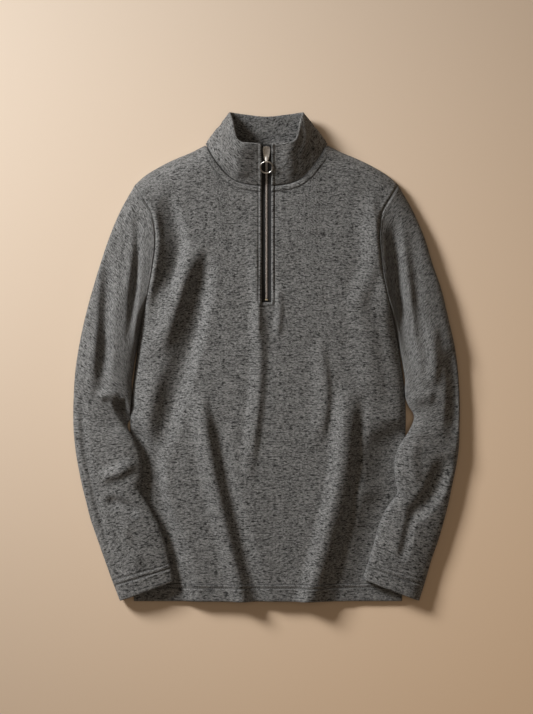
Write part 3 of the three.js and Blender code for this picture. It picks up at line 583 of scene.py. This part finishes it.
collar = {
    "thick": 2.8, "gap": 0.7, "tipGap": 2.2, "rimShare": 0.975, "rows": 34, "overRows": 6,
    "stationSteps": 9, "endStations": 0.15, "endStep": 0.03, "endRoll": 0.6, "endThin": 0.35,
    "frontOuts": (7.3, 19.8, 32.3, 44.7, 57.2, 69.7, 82.2, 94.6), "backOuts": (86.4, 70.4, 46.4, 0),
    "dimples": [(0.35, 16, 24, 2.2)], "calm": (0.12, 0.9), "zipSide": (40, 345), "noZip": 99,
    "seam": (0.03, 0.02, 0.7), "bead": (0.1, 0.5), "zipRoll": (2.6, 2.0, 0.9), "zipGroove": (1.0, 0.9),
    # out, y, z of the top edge and how far the wall swells out and up below it
    "rim": [(7.7, 327, 60, 0, 0), (19, 327.4, 61, 0, 0.5), (30, 328, 62, 0, 1), (40, 330, 61.5, 0, 1.5),
            (46.5, 336, 59, 1, 2), (50, 348, 53, 2, 2), (52.5, 363, 43, 1, 2), (56.5, 377, 28, 1, 2),
            (54.5, 379, 19, 2, 0), (46, 378, 13, 1, 0), (32, 376, 10.5, 0, 0), (0, 372.8, 9.5, 0, 0)],
    "folds": [
        ([(-68, 366), (-75, 336), (-71, 300)], -4.0, 7, 9),
        ([(-55, 374), (-57, 340), (-50, 306)], 2.8, 8, 7),
        ([(-44, 330), (-43, 300), (-40, 274)], 3.0, 12, 30),
        ([(32, 328), (36, 300), (34, 276)], 2.4, 18, 14),
        ([(56, 372), (60, 340), (55, 308)], 1.8, 8, 8),
        ([(72, 362), (70, 334), (60, 300)], -3.2, 8, 8),
        ([(13, 287), (24, 294), (35, 303)], 0.8, 3.5, 3.5),
        ([(14, 297), (26, 304), (40, 312)], 0.9, 4, 4),
        ([(18, 308), (32, 315), (46, 321)], 0.7, 4, 4),
        ([(16, 278), (30, 284), (44, 294)], -0.6, 4, 4),
    ],
}


def throughPoints(points, at):
    points = np.array(points, float)
    padded = np.vstack([2 * points[0] - points[1], points, 2 * points[-1] - points[-2]])
    i = np.clip(at.astype(int), 0, len(points) - 2)
    return between(*(padded[i + k] for k in (0, 1, 2, 3)), (at - i)[:, None])


# The collar's foot on the neck seam, from the zip to the middle of the back
def collarBase(sign):
    rows = []
    for out in collar["frontOuts"]:
        y, slope = float(neckFrontY(out)), float(neckSlope(out))
        inward = np.array([-sign * slope, 1]) / math.hypot(slope, 1) * collar["gap"]
        if out == collar["frontOuts"][-1]:
            inward = np.array([0, collar["tipGap"]])
        rows.append((sign * out + inward[0], y + inward[1], float(frontHeight(sign * out, y))))
    for out in collar["backOuts"]:
        y = float(neckBackY(out))
        rows.append((sign * out, y + collar["gap"], float(backHeight(sign * out, y))))
    return rows


# Rows of one side joined to the other's, all round the neck
def allRound(rowsOf):
    return rowsOf(1) + rowsOf(-1)[:-1][::-1]


# Outward directions of a grid of surface points
def outwardOf(points):
    across = np.gradient(points, axis=1)
    along = np.gradient(points, axis=0)
    out = np.cross(across, along)
    return out / np.linalg.norm(out, axis=2, keepdims=True)


def collarOuter():
    base = allRound(collarBase)
    rim = allRound(lambda sign: [(sign * out, y, z) for out, y, z, *swell in collar["rim"]])
    swell = allRound(lambda sign: [(sign * out, 0, up) for *place, out, up in collar["rim"]])
    last, end, step = len(base) - 1, collar["endStations"], collar["endStep"]
    at = spread((0, end, last - end, last), (step, 1 / collar["stationSteps"], step))
    share = np.linspace(0, collar["rimShare"], collar["rows"] + 1)[:, None, None]
    low, high, out = (throughPoints(rows, at)[None] for rows in (base, rim, swell))
    points = mix(low, high, share) + out * np.sin(np.pi * share)
    return points, share[:, :, 0]


# The collar is one strip folded over at its top, so its section runs up, over and down again
def collarPiece():
    points, share = collarOuter()
    x, y = points[..., 0], points[..., 1]
    out = outwardOf(points)
    free = smooth(0, collar["calm"][0], share) * smooth(1, collar["calm"][1], share)
    relief = free * (foldsAt(collar["folds"], x, y) + dimples(collar["dimples"], x, y))
    zipOut, zipY = collar["zipSide"]
    byZip = (np.abs(x) < zipOut) & (y < zipY)
    fromZip = np.where(byZip, np.abs(x) - body["slotOut"], collar["noZip"])
    relief += bump(fromZip, *collar["zipRoll"]) - bump(share, *collar["seam"])
    relief -= bump(fromZip, body["zipStitchWay"], *collar["zipGroove"])
    points = points + relief[..., None] * out
    ends = [np.linalg.norm(points - points[:, [k]], axis=2).mean(axis=0) for k in (0, -1)]
    rounded = roll(np.minimum(*ends), collar["thick"] * collar["endRoll"])
    half = collar["thick"] / 2 + bump(share, collar["rimShare"], *collar["bead"])
    half = half * np.maximum(rounded, collar["endThin"])[None]
    centre = points - collar["thick"] / 2 * out
    outer, inner = centre + half[..., None] * out, centre - half[..., None] * out
    up = points[-1] - points[-2]
    up = up / np.linalg.norm(up, axis=1, keepdims=True)
    turns = np.linspace(0, np.pi, collar["overRows"] + 1)[1:-1, None, None]
    over = centre[-1] + half[-1][:, None] * (np.cos(turns) * out[-1] + np.sin(turns) * up)
    section = np.concatenate([outer, over, inner[::-1], outer[:1]])
    section[..., 2] = np.maximum(section[..., 2], 0)
    around = arcs(section, 0, 0)
    across = arcs(points, 1, points.shape[1] // 2)[0]
    uv = np.stack([np.broadcast_to(across, around.shape), around], axis=2)
    return clothPiece("standCollar", section, uv, closed=True, capped=True)


# Zip

zipper = {
    "tapeOuts": (1.9, 5, 14.0), "acrossSteps": (0.35, 1.5), "tapeFootY": 79, "tapeTopY": 325,
    "alongStep": 1.5, "tapeThick": 0.9, "tapeGap": 0.7, "cord": (3.0, 0.7, 0.45), "thickerY": (254, 262),
    "teethY": (90.5, 302.0), "toothPitch": 2.0, "tooth": (2.3, 1.25, 1.9), "toothEdge": 0.3,
    "toothReach": 0.55, "toothRise": 0.45, "stop": (4.4, 2.4, 2.2), "stopEdge": 0.55, "stopY": 88.4,
    "stopRise": 1.4,
    "hingeY": 300.3, "hingeRise": 6.9, "bendY": 267.5, "ringRadius": 9.6, "ringWire": 1.1, "ringTilt": 0.04,
    # out and along of half the slider's outline, from its foot to its top
    "slider": [(2.6, 1.3), (3.4, 2.2), (4.0, 6.5), (5.1, 12.8), (5.5, 16.5), (5.4, 20.6), (4.4, 22.3)],
    "sliderZ": (-5.6, -3.2), "lidInset": 0.9, "lidDeep": 0.55, "sliderEdge": 0.28,
    # along and rise of the bail's strip
    "bail": [(7.0, -3.4), (6.1, -2.3), (4.4, -0.3), (2.6, 1.5), (1.0, 2.15), (-0.6, 2.1),
             (-1.8, 1.2), (-2.2, 0.0), (-1.8, -1.3), (-0.9, -2.4), (0.4, -3.6)],
    "bailWidth": 3.4, "bailThick": 1.3,
}


def besideZip(out, y):
    cloth = frontHeight(np.asarray(out, float) + 0 * y, np.minimum(y, body["neckY"]))
    share = np.clip((y - zipper["bendY"]) / (body["rimY"] - zipper["bendY"]), 0, 1)
    return mix(cloth, collar["rim"][0][2], share)


def tapeHeight(out, y):
    y = np.asarray(y, float)
    side = np.maximum(body["slotOut"], out)
    cloth = mix(body["clothThick"], collar["thick"], smooth(*zipper["thickerY"], y))
    return np.minimum(besideZip(side, y), besideZip(-side, y)) - cloth - zipper["tapeGap"]


def tapePiece(side):
    outs = spread(zipper["tapeOuts"], zipper["acrossSteps"])
    ys = spread((zipper["tapeFootY"], zipper["tapeTopY"]), (zipper["alongStep"],))
    sign = 1
    if side == "right":
        sign, outs = -1, outs[::-1]
    out, y = np.meshgrid(outs, ys)
    points = np.stack([sign * out, y, tapeHeight(out, y) + bump(out, *zipper["cord"])], axis=2)
    return clothPiece("zipTape" + side.capitalize(), points, laidOut(points, 0), zipper["tapeThick"])


# A small metal block with rounded edges, its middle at the origin
def metalBlock(size, edge):
    bm = bmesh.new()
    bmesh.ops.create_cube(bm, size=1, matrix=Matrix.Diagonal((*size, 1)))
    bmesh.ops.bevel(bm, geom=bm.edges[:], offset=edge, segments=2, profile=0.5, affect="EDGES", material=-1)
    return bm


def tapeMiddle(y):
    return float(tapeHeight(0, y))


# Places a metal part over the tapes, leaning with the stretch of them from one y to another
def onTape(out, y, rise, low, high):
    slope = math.atan2(tapeMiddle(high) - tapeMiddle(low), high - low)
    place = Matrix.Translation((out, y, tapeMiddle(y) + rise))
    return Matrix.Scale(mm, 4) @ place @ Matrix.Rotation(slope, 4, "X")


def teethPiece():
    toothMesh = meshOf("tooth", metalBlock(zipper["tooth"], zipper["toothEdge"]))
    bm = bmesh.new()
    start, end = zipper["teethY"]
    step = zipper["toothPitch"] / 2
    for k in range(int((end - start) / step)):
        y = start + step * (k + 0.5)
        out = zipper["toothReach"] * (1 if k % 2 else -1)
        bm.from_mesh(toothMesh)
        fresh = bm.verts[:][-len(toothMesh.vertices):]
        bmesh.ops.transform(bm, matrix=onTape(out, y, zipper["toothRise"], y - 1, y + 1), verts=fresh)
    bpy.data.meshes.remove(toothMesh)
    return newPiece("zipTeeth", bm)


def stopPiece():
    bm = metalBlock(zipper["stop"], zipper["stopEdge"])
    y = zipper["stopY"]
    bmesh.ops.transform(bm, matrix=onTape(0, y, zipper["stopRise"], y - 1, y + 1), verts=bm.verts)
    return newPiece("zipBottomStop", bm)


def hingePlace():
    return onTape(0, zipper["hingeY"], zipper["hingeRise"], zipper["bendY"], body["rimY"])


# The slider: a tapered plate with a raised rim and a small hole, and a bent strip that holds the ring
def sliderPiece():
    bm = bmesh.new()
    low, high = zipper["sliderZ"]
    half = zipper["slider"]
    outline = [(out, y) for out, y in half] + [(-out, y) for out, y in half[::-1]]
    face = bm.faces.new([bm.verts.new((x, y, low)) for x, y in outline])
    grown = bmesh.ops.extrude_face_region(bm, geom=[face])
    top = [g for g in grown["geom"] if isinstance(g, bmesh.types.BMVert)]
    bmesh.ops.translate(bm, verts=top, vec=(0, 0, high - low))
    bmesh.ops.recalc_face_normals(bm, faces=bm.faces)
    lid = max(bm.faces, key=lambda f: f.calc_center_median().z)
    bmesh.ops.inset_individual(bm, faces=[lid], thickness=zipper["lidInset"], depth=0)
    bmesh.ops.translate(bm, verts=lid.verts, vec=(0, 0, -zipper["lidDeep"]))
    strip, i, j = gridMesh(1, len(zipper["bail"]) - 1)
    for vert, column, row in zip(strip.verts, i, j):
        along, rise = zipper["bail"][row]
        vert.co = ((column - 0.5) * zipper["bailWidth"], along, rise)
    bmesh.ops.solidify(strip, geom=strip.faces[:], thickness=zipper["bailThick"])
    stripMesh = meshOf("strip", strip)
    bm.from_mesh(stripMesh)
    bpy.data.meshes.remove(stripMesh)
    bmesh.ops.transform(bm, matrix=hingePlace(), verts=bm.verts)
    piece = newPiece("zipSlider", bm)
    rounded = piece.modifiers.new("edges", "BEVEL")
    rounded.width = zipper["sliderEdge"] * mm
    rounded.segments = 2
    rounded.limit_method = "ANGLE"
    rounded.angle_limit = math.radians(40)
    return piece


def ringPiece():
    bm = bmesh.new()
    wire = bmesh.ops.create_circle(bm, segments=14, radius=zipper["ringWire"])["verts"]
    side = Matrix.Translation((0, zipper["ringRadius"], 0)) @ Matrix.Rotation(math.pi / 2, 4, "Y")
    bmesh.ops.transform(bm, matrix=side, verts=wire)
    bmesh.ops.spin(bm, geom=bm.edges[:], axis=(0, 0, 1), angle=2 * math.pi, steps=72, use_merge=True)
    bmesh.ops.recalc_face_normals(bm, faces=bm.faces)
    down = Matrix.Rotation(zipper["ringTilt"], 4, "X") @ Matrix.Translation((0, -zipper["ringRadius"], 0))
    bmesh.ops.transform(bm, matrix=hingePlace() @ down, verts=bm.verts)
    return newPiece("zipRing", bm)


# Stitches

# how far apart, how long and how thick
thread = {"hem": (3.4, 2.6, 0.75), "top": (2.8, 2.1, 0.5), "dropFrom": 200, "overSurface": 0.02}


# A value part of the way along a row of places
def partWay(ways, rows, way):
    return Vector([np.interp(way, ways, rows[:, k]) for k in range(3)])


# Lays oval stitches along a row of surface points, in millimetres
def sewRow(bm, row, outs, pitch, length, thick):
    row, outs = np.asarray(row, float), np.asarray(outs, float)
    ways = np.r_[0, np.cumsum(np.linalg.norm(np.diff(row, axis=0), axis=1))]
    for way in np.arange(pitch / 2, ways[-1] - length / 2, pitch):
        ends = [partWay(ways, row, way + shift) for shift in (-length / 2, length / 2)]
        out = partWay(ways, outs, way).normalized()
        along = (ends[1] - ends[0]).normalized()
        across = along.cross(out).normalized()
        out = across.cross(along)
        turn = Matrix((across * thick / 2, out * thick / 2, along * length / 2)).transposed().to_4x4()
        place = Matrix.Translation((ends[0] + ends[1]) / 2)
        matrix = Matrix.Scale(mm, 4) @ place @ turn
        bmesh.ops.create_uvsphere(bm, u_segments=8, v_segments=5, radius=1, matrix=matrix)


def surfaceUnder(piece):
    mesh = piece.data
    return BVHTree.FromPolygons([v.co for v in mesh.vertices], [p.vertices for p in mesh.polygons])


# Drops a line of places onto a piece from above
def onCloth(tree, places):
    row, outs = [], []
    for x, y in places:
        spot, out = tree.ray_cast(Vector((x, y, thread["dropFrom"])) * mm, Vector((0, 0, -1)))[:2]
        if spot is not None:
            row.append(spot / mm)
            outs.append(out if out.z > 0 else -out)
    return row, outs


def bodyStitches(frontCloth, collarCloth):
    bm = bmesh.new()
    frontTree, collarTree = surfaceUnder(frontCloth), surfaceUnder(collarCloth)
    foot, corner, top = body["slotFootY"], body["zipStitchWay"], thread["top"]
    out = body["slotOut"] + corner
    for rise in body["stitchRows"]:
        row = [(x, body["hemY"] + rise) for x in np.arange(-200, 205, 1.5)]
        sewRow(bm, *onCloth(frontTree, row), *thread["hem"])
    for sign in (-1, 1):
        outs = np.arange(out + 1, 86, 1.0)
        ys = neckFrontY(outs) - body["neckBand"] * np.sqrt(1 + neckSlope(outs) ** 2)
        sewRow(bm, *onCloth(frontTree, zip(sign * outs, ys)), *top)
        up = [(sign * out, y) for y in np.arange(body["neckY"] + 4, body["rimY"] - 3, 1.0)]
        sewRow(bm, *onCloth(collarTree, up), *top)
    turns = np.linspace(0, np.pi / 2, 8)[1:]
    right = [(-out, y) for y in np.arange(body["neckY"] - 4, foot, -1.0)]
    bend = [(-body["slotOut"] - corner * np.cos(a), foot - corner * np.sin(a)) for a in turns]
    box = right + bend + [(-x, y) for x, y in (right + bend)[::-1]]
    sewRow(bm, *onCloth(frontTree, box), *top)
    low = [(x, foot - corner - body["zipFootRow"]) for x in np.arange(-out + 1, out, 1.0)]
    sewRow(bm, *onCloth(frontTree, low), *top)
    return newPiece("stitchesBody", bm)


def cuffStitches(side):
    bm = bmesh.new()
    turns = np.linspace(0, 2 * np.pi, 241)
    for row in sleeve["stitchRows"]:
        t = np.full_like(turns, 1 - row / sleeve["length"])
        spots = sleeveSurface(side, turns, t)
        spots[:, 2] = np.maximum(spots[:, 2], thread["hem"][2] / 2 + thread["overSurface"])
        outs = np.gradient(spots, axis=0)[:, [2, 1, 0]] * [1, 0, -1]
        middle = spots.mean(axis=0)
        facing = np.sign(((spots - middle) * outs).sum(axis=1, keepdims=True))
        sewRow(bm, spots, outs * np.where(facing == 0, 1, facing), *thread["hem"])
    return newPiece("stitches" + side.capitalize() + "Cuff", bm)


# Materials

knitLook = {
    # fleck is the colour of the dark flecks, and also of the painted shade in the sewn grooves
    "light": (0.325, 0.324, 0.319), "dark": (0.023, 0.023, 0.0225), "fleckAndGrooveShade": (0.012, 0.012, 0.0119),
    # shade is the colour of the painted shade in the low places between the loops
    "shade": (0.02, 0.02, 0.019), "wale": 0.0021, "course": 0.0016, "lean": 0.9,
    # noise scales across and along the cloth
    "heather": (200, 400), "blotch": (40, 90), "flecks": (120, 430), "fineFlecks": (380, 800),
    "fuzz": (900, 1400), "bumpStrength": 0.55, "bumpDeep": 0.0005, "rowHalf": 0.0014,
}


def newMaterial(name):
    material = bpy.data.materials.new(name)
    material.use_nodes = True
    return material, material.node_tree, material.node_tree.nodes["Principled BSDF"]


def setInputs(tree, node, inputs):
    for key, value in inputs.items():
        if isinstance(value, bpy.types.NodeSocket):
            tree.links.new(value, node.inputs[key])
        else:
            node.inputs[key].default_value = value


def addNode(tree, kind, inputs=None, **settings):
    made = tree.nodes.new(kind)
    for key, value in settings.items():
        setattr(made, key, value)
    setInputs(tree, made, inputs or {})
    return made


def clothPlace(tree, layer="cloth"):
    return addNode(tree, "ShaderNodeUVMap", uv_map=layer).outputs[0]


def objectPlace(tree):
    return addNode(tree, "ShaderNodeTexCoord").outputs["Object"]


def partsOf(tree, place):
    return addNode(tree, "ShaderNodeSeparateXYZ", {0: place}).outputs


def bumpOn(tree, height, strength, deep):
    bumpy = addNode(tree, "ShaderNodeBump", {"Height": height, "Strength": strength, "Distance": deep})
    return bumpy.outputs[0]


def calc(tree, operation, *values):
    return addNode(tree, "ShaderNodeMath", dict(enumerate(values)), operation=operation).outputs[0]


def noiseOn(tree, place, scales, detail=2.0, rough=0.5):
    mapped = addNode(tree, "ShaderNodeMapping", {"Vector": place, "Scale": (*scales, 1)[:3]}).outputs[0]
    inputs = {"Vector": mapped, "Scale": 1.0, "Detail": detail, "Roughness": rough}
    return addNode(tree, "ShaderNodeTexNoise", inputs).outputs["Fac"]


def ranged(tree, value, low, high, to=(0.0, 1.0)):
    sockets = {"Value": value, "From Min": low, "From Max": high, "To Min": to[0], "To Max": to[1]}
    return addNode(tree, "ShaderNodeMapRange", sockets).outputs[0]


def mixColour(tree, share, a, b):
    made = addNode(tree, "ShaderNodeMix", data_type="RGBA")
    for name, value in (("Factor", share), ("A", a), ("B", b)):
        socket = next(s for s in made.inputs if s.name == name and s.enabled)
        if isinstance(value, bpy.types.NodeSocket):
            tree.links.new(value, socket)
        else:
            socket.default_value = (*value, 1) if name != "Factor" else value
    return next(s for s in made.outputs if s.enabled)


# Rows of small slanted loops: how high the yarn stands, and a shade for each loop
def knitLoops(tree, place):
    parts = partsOf(tree, place)
    u = calc(tree, "DIVIDE", parts["X"], knitLook["wale"])
    v = calc(tree, "DIVIDE", parts["Y"], knitLook["course"])
    lean = calc(tree, "ABSOLUTE", calc(tree, "SUBTRACT", calc(tree, "FRACT", u), 0.5))
    slanted = calc(tree, "SUBTRACT", v, calc(tree, "MULTIPLY", lean, knitLook["lean"] * 2))
    across = calc(tree, "SINE", calc(tree, "MULTIPLY", lean, 2 * math.pi))
    along = calc(tree, "SINE", calc(tree, "MULTIPLY", calc(tree, "FRACT", slanted), math.pi))
    height = calc(tree, "MULTIPLY", calc(tree, "ABSOLUTE", across), along)
    loop = {0: calc(tree, "FLOOR", u), 1: calc(tree, "FLOOR", slanted)}
    cell = addNode(tree, "ShaderNodeCombineXYZ", loop).outputs[0]
    shade = addNode(tree, "ShaderNodeTexWhiteNoise", {"Vector": cell}, noise_dimensions="2D").outputs["Value"]
    return height, shade


# How near a place is to a sewn row, from 0 to 1
def nearRow(tree, way, place, half):
    return ranged(tree, calc(tree, "ABSOLUTE", calc(tree, "SUBTRACT", way, place)), 0.0, half, (1.0, 0.0))


# The knit, with the sewn rows at these distances from the piece's hem. The sewn rows, the neck seam and the
# zip's stitch line are darkened with painted shade in their grooves.
def knitMaterial(name, hemRows=()):
    material, tree, shader = newMaterial(name)
    place = clothPlace(tree)
    height, shade = knitLoops(tree, place)
    heather = noiseOn(tree, place, knitLook["heather"], 3.0, 0.65)
    blotch = noiseOn(tree, place, knitLook["blotch"])
    broad = ranged(tree, heather, 0.37, 0.64)
    tone = calc(tree, "ADD", calc(tree, "MULTIPLY", broad, 0.62), calc(tree, "MULTIPLY", shade, 0.32))
    tone = calc(tree, "ADD", tone, ranged(tree, blotch, 0.3, 0.7, (-0.08, 0.18)))
    yarn = mixColour(tree, tone, knitLook["dark"], knitLook["light"])
    flecks = ranged(tree, noiseOn(tree, place, knitLook["flecks"], 1.0, 0.4), 0.58, 0.66)
    fine = ranged(tree, noiseOn(tree, place, knitLook["fineFlecks"], 1.0, 0.4), 0.60, 0.70)
    spots = calc(tree, "MULTIPLY", calc(tree, "MAXIMUM", flecks, calc(tree, "MULTIPLY", fine, 0.7)), 0.92)
    marled = mixColour(tree, spots, yarn, knitLook["fleckAndGrooveShade"])
    # Painted shade: the knit is darker where the yarn stands low between the loops
    withPaintedShade = mixColour(tree, ranged(tree, height, 0.0, 0.55, (0.42, 0.0)), marled, knitLook["shade"])
    fuzz = noiseOn(tree, place, knitLook["fuzz"], 3.0, 0.7)
    relief = calc(tree, "ADD", height, calc(tree, "MULTIPLY", fuzz, 0.5))
    relief = calc(tree, "ADD", relief, calc(tree, "MULTIPLY", heather, 0.8))
    rows = 0.0
    if hemRows:
        along = partsOf(tree, place)["Y"]
        ways = partsOf(tree, clothPlace(tree, "edges"))
        sewn = [(along, row * mm) for row in hemRows]
        sewn += [(ways["X"], body["neckBand"] * mm), (ways["X"], 0.0), (ways["Y"], body["zipStitchWay"] * mm)]
        for way, row in sewn:
            rows = calc(tree, "MAXIMUM", rows, nearRow(tree, way, row, knitLook["rowHalf"]))
    # Painted shade in the grooves of the sewn rows, the neck seam and the zip's stitch line
    withPaintedShade = mixColour(tree, calc(tree, "MULTIPLY", rows, 0.75), withPaintedShade, knitLook["fleckAndGrooveShade"])
    relief = calc(tree, "SUBTRACT", relief, calc(tree, "MULTIPLY", rows, 2.2))
    bumpy = bumpOn(tree, relief, knitLook["bumpStrength"], knitLook["bumpDeep"])
    setInputs(tree, shader, {"Base Color": withPaintedShade, "Normal": bumpy, "Roughness": 0.92,
                             "Specular IOR Level": 0.25, "Sheen Weight": 0.12, "Sheen Roughness": 0.5})
    return material


def tapeMaterial():
    material, tree, shader = newMaterial("blackWovenTape")
    place = clothPlace(tree)
    parts = partsOf(tree, place)
    slant = calc(tree, "ADD", parts["Y"], calc(tree, "PINGPONG", parts["X"], 0.0012))
    rib = calc(tree, "SINE", calc(tree, "MULTIPLY", slant, 2 * math.pi / 0.0011))
    worn = ranged(tree, noiseOn(tree, place, (400, 400)), 0.35, 0.75, (0.0, 0.6))
    colour = mixColour(tree, worn, (0.0085, 0.0085, 0.009), (0.022, 0.021, 0.020))
    ribbed = bumpOn(tree, rib, 0.4, 0.0002)
    setInputs(tree, shader, {"Base Color": colour, "Normal": ribbed, "Roughness": 0.85})
    return material


def threadMaterial():
    material, tree, shader = newMaterial("charcoalThread")
    twist = noiseOn(tree, objectPlace(tree), (2600, 2600, 2600))
    colour = mixColour(tree, ranged(tree, twist, 0.3, 0.7), (0.11, 0.109, 0.105), (0.25, 0.247, 0.238))
    twisted = bumpOn(tree, twist, 0.5, 0.0002)
    setInputs(tree, shader, {"Base Color": colour, "Normal": twisted, "Roughness": 0.75})
    return material


# Worn metal: a tint, how rough it is, and darker where the noise runs low
def metalMaterial(name, bright, dull, roughness):
    material, tree, shader = newMaterial(name)
    place = objectPlace(tree)
    wear = ranged(tree, noiseOn(tree, place, (520, 520, 520), 4.0, 0.6), 0.35, 0.65)
    rough = ranged(tree, wear, 0.0, 1.0, (roughness + 0.12, roughness))
    scratches = bumpOn(tree, noiseOn(tree, place, (400, 3000, 3000)), 0.15, 0.0001)
    setInputs(tree, shader, {"Base Color": mixColour(tree, wear, dull, bright), "Normal": scratches,
                             "Roughness": rough, "Metallic": 1.0})
    return material


knit = knitMaterial("greyMarlKnit", body["stitchRows"])
cuffKnit = knitMaterial("greyMarlSleeves", sleeve["stitchRows"])
collarKnit = knitMaterial("greyMarlCollar")
tape = tapeMaterial()
sewing = threadMaterial()
nickel = metalMaterial("wornNickel", (0.80, 0.77, 0.72), (0.46, 0.43, 0.39), 0.28)
teethMetal = metalMaterial("dullTeeth", (0.56, 0.51, 0.47), (0.30, 0.27, 0.25), 0.42)
sliderMetal = metalMaterial("brushedSlider", (0.90, 0.87, 0.82), (0.58, 0.54, 0.49), 0.44)
brass = metalMaterial("paleBrass", (0.86, 0.76, 0.58), (0.55, 0.46, 0.32), 0.3)
print("materials ready")


# Gives a piece its material and its body, and hides the imported nodes that it stands for
def finishPiece(piece, material, finish, *nodes, rides="garment"):
    piece.data.materials.append(material)
    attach(piece, rides)
    if nodes:
        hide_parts(*nodes)
    print("made", piece.name, len(piece.data.vertices), "vertices")
    return piece


frontCloth = finishPiece(frontPanel(), knit, "knit", "front_panel")
backCloth = finishPiece(backPanel(), knit, "knit", "back_panel")
sides = ("right", "left")
sleeves = [finishPiece(sleevePiece(side), cuffKnit, "knit", "sleeve_" + side) for side in sides]
collarCloth = finishPiece(collarPiece(), collarKnit, "knit", "collar")
tapes = [finishPiece(tapePiece(side), tape, "zip_tape", "zip_tape_" + side) for side in sides]
finishPiece(teethPiece(), teethMetal, "zip_teeth", "zip_chain")
finishPiece(stopPiece(), brass, "zip_stop", "zip_bottom_stop")
finishPiece(sliderPiece(), sliderMetal, "zip_metal", "zip_slider")
finishPiece(ringPiece(), nickel, "zip_metal", "zip_ring", rides="zip_pull")
bodySewing = finishPiece(bodyStitches(frontCloth, collarCloth), sewing, "knit")
cuffSewing = [finishPiece(cuffStitches(side), sewing, "knit") for side in sides]
print("pieces ready")

# Camera, floor and light

view = {"perPixel": 1.55, "tall": 714, "lens": 130, "sensor": 36, "planeZ": 15}

cameraData = bpy.data.cameras.new("camera")
cameraData.lens = view["lens"]
cameraData.sensor_width = view["sensor"]
away = view["perPixel"] * view["tall"] * view["lens"] / view["sensor"] + view["planeZ"]
camera = addObject("camera", cameraData)
camera.location = (0, 0, away * mm)
bpy.context.scene.camera = camera

studio = {
    # the floor's two colours are a painted light falloff, lit towards the window lamp and shaded away from it
    "floorPaintedLit": (0.665, 0.56, 0.455), "floorPaintedShade": (0.685, 0.495, 0.33), "floorHalf": 6, "floorZ": -0.0004,
    # place, size, power, colour, aim and spread in degrees
    "window": ((-2.06, 1.54, 1.46), 0.8, 14.8, (1, 1, 1), (-0.12, 0.04, 0), 60),
    "ceiling": ((0.3, -0.2, 4.6), 3.0, 28, (1.0, 0.86, 0.7), (0, 0, 0), 180),
    "room": (1.0, 0.78, 0.58), "roomLight": 0.085,
}


# Painted light falloff: paler towards the window lamp and deeper away from it
def surfaceMaterial():
    material, tree, shader = newMaterial("paleSurface")
    parts = partsOf(tree, objectPlace(tree))
    share = ranged(tree, calc(tree, "SUBTRACT", parts["X"], parts["Y"]), -0.9, 0.9)
    colour = mixColour(tree, share, studio["floorPaintedLit"], studio["floorPaintedShade"])
    setInputs(tree, shader, {"Base Color": colour, "Roughness": 0.9, "Specular IOR Level": 0.2})
    return material


def areaLight(name, place, size, power, colour, aim, spread):
    data = bpy.data.lights.new(name, "AREA")
    data.size = size
    data.energy = power
    data.color = colour
    data.spread = math.radians(spread)
    light = addObject(name, data)
    light.location = place
    light.rotation_euler = (Vector(aim) - Vector(place)).to_track_quat("-Z", "Y").to_euler()


surface = bmesh.new()
bmesh.ops.create_grid(surface, x_segments=1, y_segments=1, size=studio["floorHalf"])
floor = newPiece("floor", surface)
floor.data.materials.append(surfaceMaterial())
floor.location.z = studio["floorZ"]
for name in ("window", "ceiling"):
    areaLight(name, *studio[name])
world = bpy.data.worlds.new("room")
world.use_nodes = True
world.node_tree.nodes["Background"].inputs[0].default_value = (*studio["room"], 1)
world.node_tree.nodes["Background"].inputs[1].default_value = studio["roomLight"]
bpy.context.scene.world = world
bpy.context.scene.view_settings.view_transform = "Standard"
print("camera, floor and light ready")
